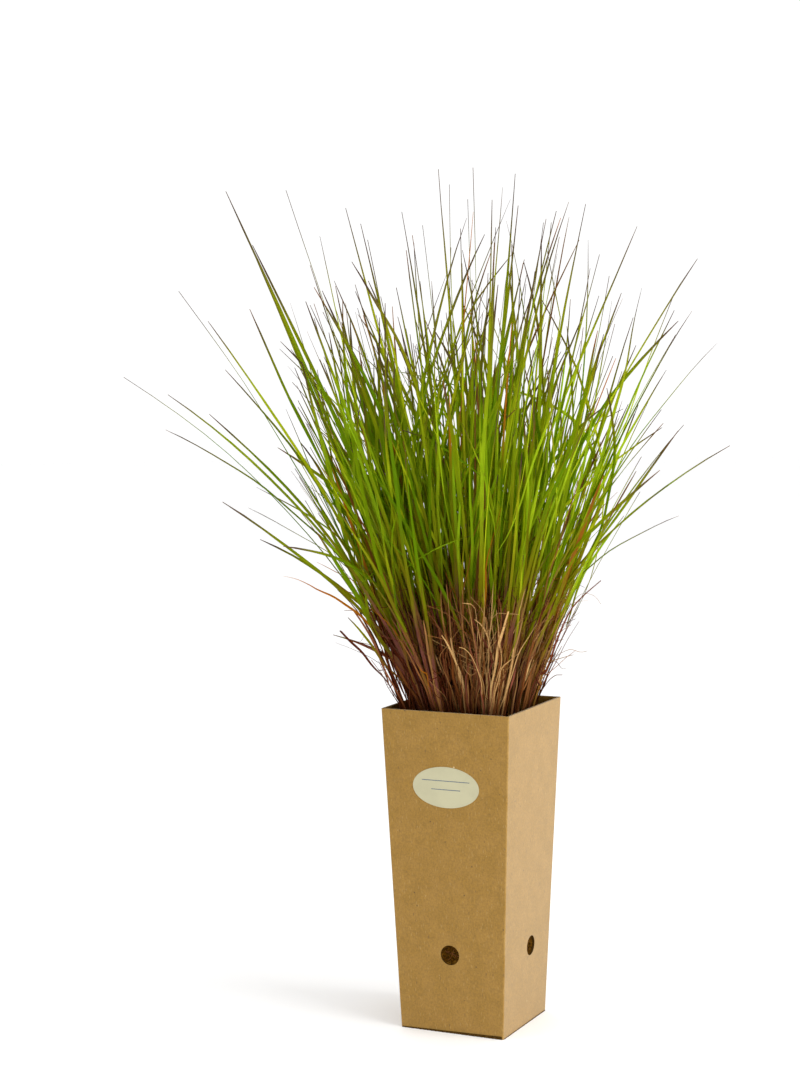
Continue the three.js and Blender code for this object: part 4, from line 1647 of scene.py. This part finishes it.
def litter(pot, soil, draw):
    """Bits of straw that lie on the soil inside the rim."""
    reach = (half_width(pot, SOIL_TOP * MM) - pot.board) / MM - LITTER_MARGIN
    bits = []
    for _ in range(soil.litter):
        turn = draw.uniform(0, 2 * math.pi)
        long = draw.uniform(4, 20)
        middle = np.array((*draw.uniform(-reach, reach, 2), SOIL_TOP + draw.uniform(1.0, 3.2)))
        way = np.array((math.cos(turn), math.sin(turn), draw.normal(0, 0.1)))
        spine = middle + way * ((TIMES - 0.5) * long)[:, None]
        spine[:, :2] = np.clip(wander(spine, draw, 0.8)[:, :2], -reach, reach)
        widths = draw.uniform(0.5, 2.2) * taper("litter")
        tint = draw.random()
        bits.append(Blade(spine, widths, np.full(RINGS, 0.2), turn + math.pi / 2, 0, tint, foot=LITTER_FOOT))
    return bits


def root_threads(pot, draw):
    """Pale root threads across the hollows behind the holes."""
    bits = []
    mid = (TIMES - 0.5)[:, None]
    for middle, outward in hole_sides(pot, pot.board + THREADS_IN):
        for _ in range(THREADS):
            turn = draw.uniform(0, math.pi)
            way = np.cross(outward, UP) * math.cos(turn) + UP * math.sin(turn)
            bend = np.cross(way, outward) * draw.uniform(-4, 4)
            spine = np.array(middle) / MM + way * (mid * 13) + bend * (mid**2 * 4 - 0.3)
            spine -= outward * (1.2 - mid**2 * 3.2)
            widths = np.full(RINGS, draw.uniform(0.2, 0.4))
            bits.append(Blade(spine, widths, widths, turn, 0, draw.uniform(0.2, 0.6), foot=THREAD_FOOT))
    return bits


# Operators, one for each piece or group of like pieces.
SEEDS = {"soil": 11, "tufts": 100, "thatch": 500, "strays": 900}
OVAL_STEPS = 96
RULED_LINES = ((0.0052, 0.041), (-0.0018, 0.025))
LINE_TALL = 0.0007
LINE_THICK = 0.00006


def check_count(grown, nodes):
    """Stop if the rule grew more or fewer tufts or bunches than the solids have."""
    if len(grown) != len(nodes):
        raise RuntimeError(f"{len(grown)} grew for {len(nodes)} nodes")


class CARTON_OT_make(bpy.types.Operator):
    """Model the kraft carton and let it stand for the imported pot"""

    bl_idname = "potted_grass.carton"
    bl_label = "Carton"

    def execute(self, context):
        size = context.scene.potted_grass.carton
        carton = carton_body(size)
        cut_holes(carton, size)
        core_board = cut_edge(size)
        paint(carton, kraft_board(size), core_board, inner_board(size))
        sort_faces(carton, size)
        core = rim_flutes(size) + [foot_edge(size, *edge) for edge in FOOT_EDGES]
        for strip in core:
            paint(strip, core_board)
        dress(join([carton, *core]), "kraft_board", "pot")
        return {"FINISHED"}


class STICKER_OT_make(bpy.types.Operator):
    """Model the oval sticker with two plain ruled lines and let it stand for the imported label"""

    bl_idname = "potted_grass.sticker"
    bl_label = "Sticker"

    def execute(self, context):
        size = context.scene.potted_grass.sticker
        pot = context.scene.potted_grass.carton
        begin()
        bpy.ops.mesh.primitive_cylinder_add(
            vertices=OVAL_STEPS, radius=0.5, depth=1, scale=(size.width, size.height, size.thick)
        )
        sticker = settle("sticker")
        apply(sticker, "BEVEL", width=size.thick * 0.3, segments=2, limit_method="ANGLE")
        paint(sticker, sticker_paper(size))
        ink = sticker_ink(size)
        lines = []
        for up, long in RULED_LINES:
            begin()
            bpy.ops.mesh.primitive_cube_add(
                size=1, location=(0, up, size.thick / 2), scale=(long, LINE_TALL, LINE_THICK)
            )
            lines.append(settle("ruled_line"))
            paint(lines[-1], ink)
        sticker = join([sticker, *lines])
        lean = math.atan((pot.top - pot.foot) / 2 / pot.height)
        middle = (LABEL_LOW.z + LABEL_HIGH.z) / 2
        out = half_width(pot, middle) + size.thick / 2
        sticker.data.transform(Matrix.Rotation(math.pi / 2 + lean, 4, "X"))
        sticker.data.transform(Matrix.Translation((0, -out, middle)))
        dress(sticker, "label_paper", "label")
        return {"FINISHED"}


class SOIL_OT_make(bpy.types.Operator):
    """Model the potting mix, its crumbs and the litter on it, and let them stand for the packed soil"""

    bl_idname = "potted_grass.soil"
    bl_label = "Soil"

    def execute(self, context):
        settings = context.scene.potted_grass
        pot, soil = settings.carton, settings.soil
        draw = np.random.default_rng(SEEDS["soil"])
        mix = potting_mix(soil)
        parts = [soil_body(pot), top_crumbs(pot, soil, draw), hole_crumbs(pot, soil, draw)]
        for part in parts:
            paint(part, mix)
        dress(join(parts), "potting_mix", "soil")
        bits = blade_mesh("soil_litter", litter(pot, soil, draw) + root_threads(pot, draw), draw)
        paint(bits, dry_straw())
        dress(bits, "dead_leaf")
        return {"FINISHED"}


class TUFTS_OT_make(bpy.types.Operator):
    """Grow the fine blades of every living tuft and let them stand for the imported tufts"""

    bl_idname = "potted_grass.tufts"
    bl_label = "Tufts"

    def execute(self, context):
        size = context.scene.potted_grass.grass
        green = green_leaf(size)
        living, _ = clump()
        check_count(living, TUFTS)
        for i, (node, blades) in enumerate(zip(TUFTS, living)):
            draw = np.random.default_rng(SEEDS["tufts"] + i)
            fresh = [dressed(blade, draw) for blade in blades]
            near = [blade for blade in neighbours(living, i) if not is_lone(blade)]
            parents = [blade for blade in blades if not is_lone(blade)]
            fresh += [side_leaf(parents, near, draw) for _ in range(size.side_leaves)]
            fresh += [outline_leaf(blade, draw) for blade in blades if misses(blade)]
            fresh += [dying_leaf(blades, draw) for _ in range(size.dying)]
            old = [husk(blades, draw) for _ in range(size.husks)]
            old += [curl(blades, draw, 1.0) for _ in range(size.curls)]
            tuft = blade_mesh(f"{node}_blades", fresh, draw)
            paint(tuft, green)
            husks = blade_mesh("husks", old, draw)
            paint(husks, dry_straw())
            dress(join([tuft, husks]), "green_leaf", node)
        return {"FINISHED"}


class THATCH_OT_make(bpy.types.Operator):
    """Grow last year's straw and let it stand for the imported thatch"""

    bl_idname = "potted_grass.thatch"
    bl_label = "Thatch"

    def execute(self, context):
        size = context.scene.potted_grass.straw
        _, dead = clump()
        check_count(dead, THATCH)
        for i, (node, blades) in enumerate(zip(THATCH, dead)):
            draw = np.random.default_rng(SEEDS["thatch"] + i)
            bits = [dressed(blade, draw) for blade in blades]
            share = min(1, max(0, 0.6 + 0.5 * straw_side(blades[0].curve[0])))
            bits += [scrap(blades, draw) for _ in range(int(size.scraps * share))]
            bits += [curl(blades, draw, 1.1) for _ in range(int(size.curls * share))]
            bunch = blade_mesh(f"{node}_straws", bits, draw)
            paint(bunch, dry_straw())
            dress(bunch, "dead_leaf", node)
        return {"FINISHED"}


class STRAYS_OT_make(bpy.types.Operator):
    """Add the stray straws at the clump's foot"""

    bl_idname = "potted_grass.strays"
    bl_label = "Strays"

    def execute(self, context):
        draw = np.random.default_rng(SEEDS["strays"])
        bits = blade_mesh("stray_straws", [stray(*row) for row in STRAYS], draw)
        paint(bits, dry_straw())
        dress(bits, "dead_leaf")
        return {"FINISHED"}


# Angles of the camera in degrees: round the pot, off its middle, down and tilted.
CAMERA_TURN = 23.76
CAMERA_AIM = -1.78
CAMERA_DOWN = 4.78
CAMERA_ROLL = -0.5
SENSOR = 36
LIGHT_AIM = Vector((0, 0, 0.35))
FLOOR_STEPS = 128
FLOOR_REACH = 9
WHITE = (1, 1, 1, 1)


def soft_light(name, spot, size, power):
    """A square soft light that looks at the clump."""
    begin()
    bpy.ops.object.light_add(type="AREA", location=spot)
    light = bpy.context.active_object
    light.name = name
    light.data.energy = power
    light.data.size = size
    light.rotation_euler = (LIGHT_AIM - Vector(spot)).to_track_quat("-Z", "Y").to_euler()


def view_camera(size):
    """The camera of the photograph: a little above the rim, turned and tilted by small angles."""
    around = math.radians(CAMERA_TURN)
    spot = Vector((math.sin(around) * size.distance, -math.cos(around) * size.distance, size.eye))
    begin()
    bpy.ops.object.camera_add(location=spot)
    camera = bpy.context.active_object
    camera.name = "view_camera"
    camera.data.sensor_width = SENSOR
    camera.data.lens = size.lens / MM
    turn = (
        Matrix.Rotation(math.radians(CAMERA_TURN - CAMERA_AIM), 3, "Z")
        @ Matrix.Rotation(math.radians(90 - CAMERA_DOWN), 3, "X")
        @ Matrix.Rotation(math.radians(CAMERA_ROLL), 3, "Z")
    )
    camera.rotation_euler = turn.to_euler()
    bpy.context.scene.camera = camera


class STAGE_OT_make(bpy.types.Operator):
    """Set up the pale floor, the soft light and the camera"""

    bl_idname = "potted_grass.stage"
    bl_label = "Stage"

    def execute(self, context):
        size = context.scene.potted_grass.stage
        begin()
        bpy.ops.mesh.primitive_circle_add(vertices=FLOOR_STEPS, radius=FLOOR_REACH, fill_type="NGON")
        floor = settle("floor")
        paint(floor, pale_floor(size))
        world = bpy.data.worlds.new("studio")
        world.use_nodes = True
        sky = world.node_tree.nodes["Background"]
        sky.inputs["Color"].default_value = WHITE
        sky.inputs["Strength"].default_value = size.sky
        context.scene.world = world
        soft_light("key", spot=(2.0, -0.2, 1.1), size=1.6, power=size.key)
        soft_light("fill", spot=(-0.9, -1.9, 1.6), size=1.4, power=size.fill)
        view_camera(size)
        context.scene.view_settings.view_transform = "Standard"
        return {"FINISHED"}


STEPS = (
    CARTON_OT_make,
    STICKER_OT_make,
    SOIL_OT_make,
    TUFTS_OT_make,
    THATCH_OT_make,
    STRAYS_OT_make,
    STAGE_OT_make,
)


class GRASS_PT_panel(bpy.types.Panel):
    """The pieces of the potted grass"""

    bl_label = "Potted prairie grass"
    bl_idname = "GRASS_PT_panel"
    bl_space_type = "VIEW_3D"
    bl_region_type = "UI"
    bl_category = "Grass"

    def draw(self, context):
        for step in STEPS:
            self.layout.operator(step.bl_idname)


GROUPS = (
    CartonSettings,
    StickerSettings,
    SoilSettings,
    GrassSettings,
    StrawSettings,
    StageSettings,
    GrassScene,
)
CLASSES = (*GROUPS, *STEPS, GRASS_PT_panel)


def register():
    """Register the settings, the operators and the panel."""
    for kind in CLASSES:
        bpy.utils.register_class(kind)
    bpy.types.Scene.potted_grass = PointerProperty(type=GrassScene)


def unregister():
    """Take them out again."""
    del bpy.types.Scene.potted_grass
    for kind in reversed(CLASSES):
        bpy.utils.unregister_class(kind)


def main():
    """Make every piece."""
    register()
    made = bpy.ops.potted_grass
    made.carton()
    made.sticker()
    made.soil()
    made.tufts()
    made.thatch()
    made.strays()
    made.stage()


if __name__ == "__main__":
    main()
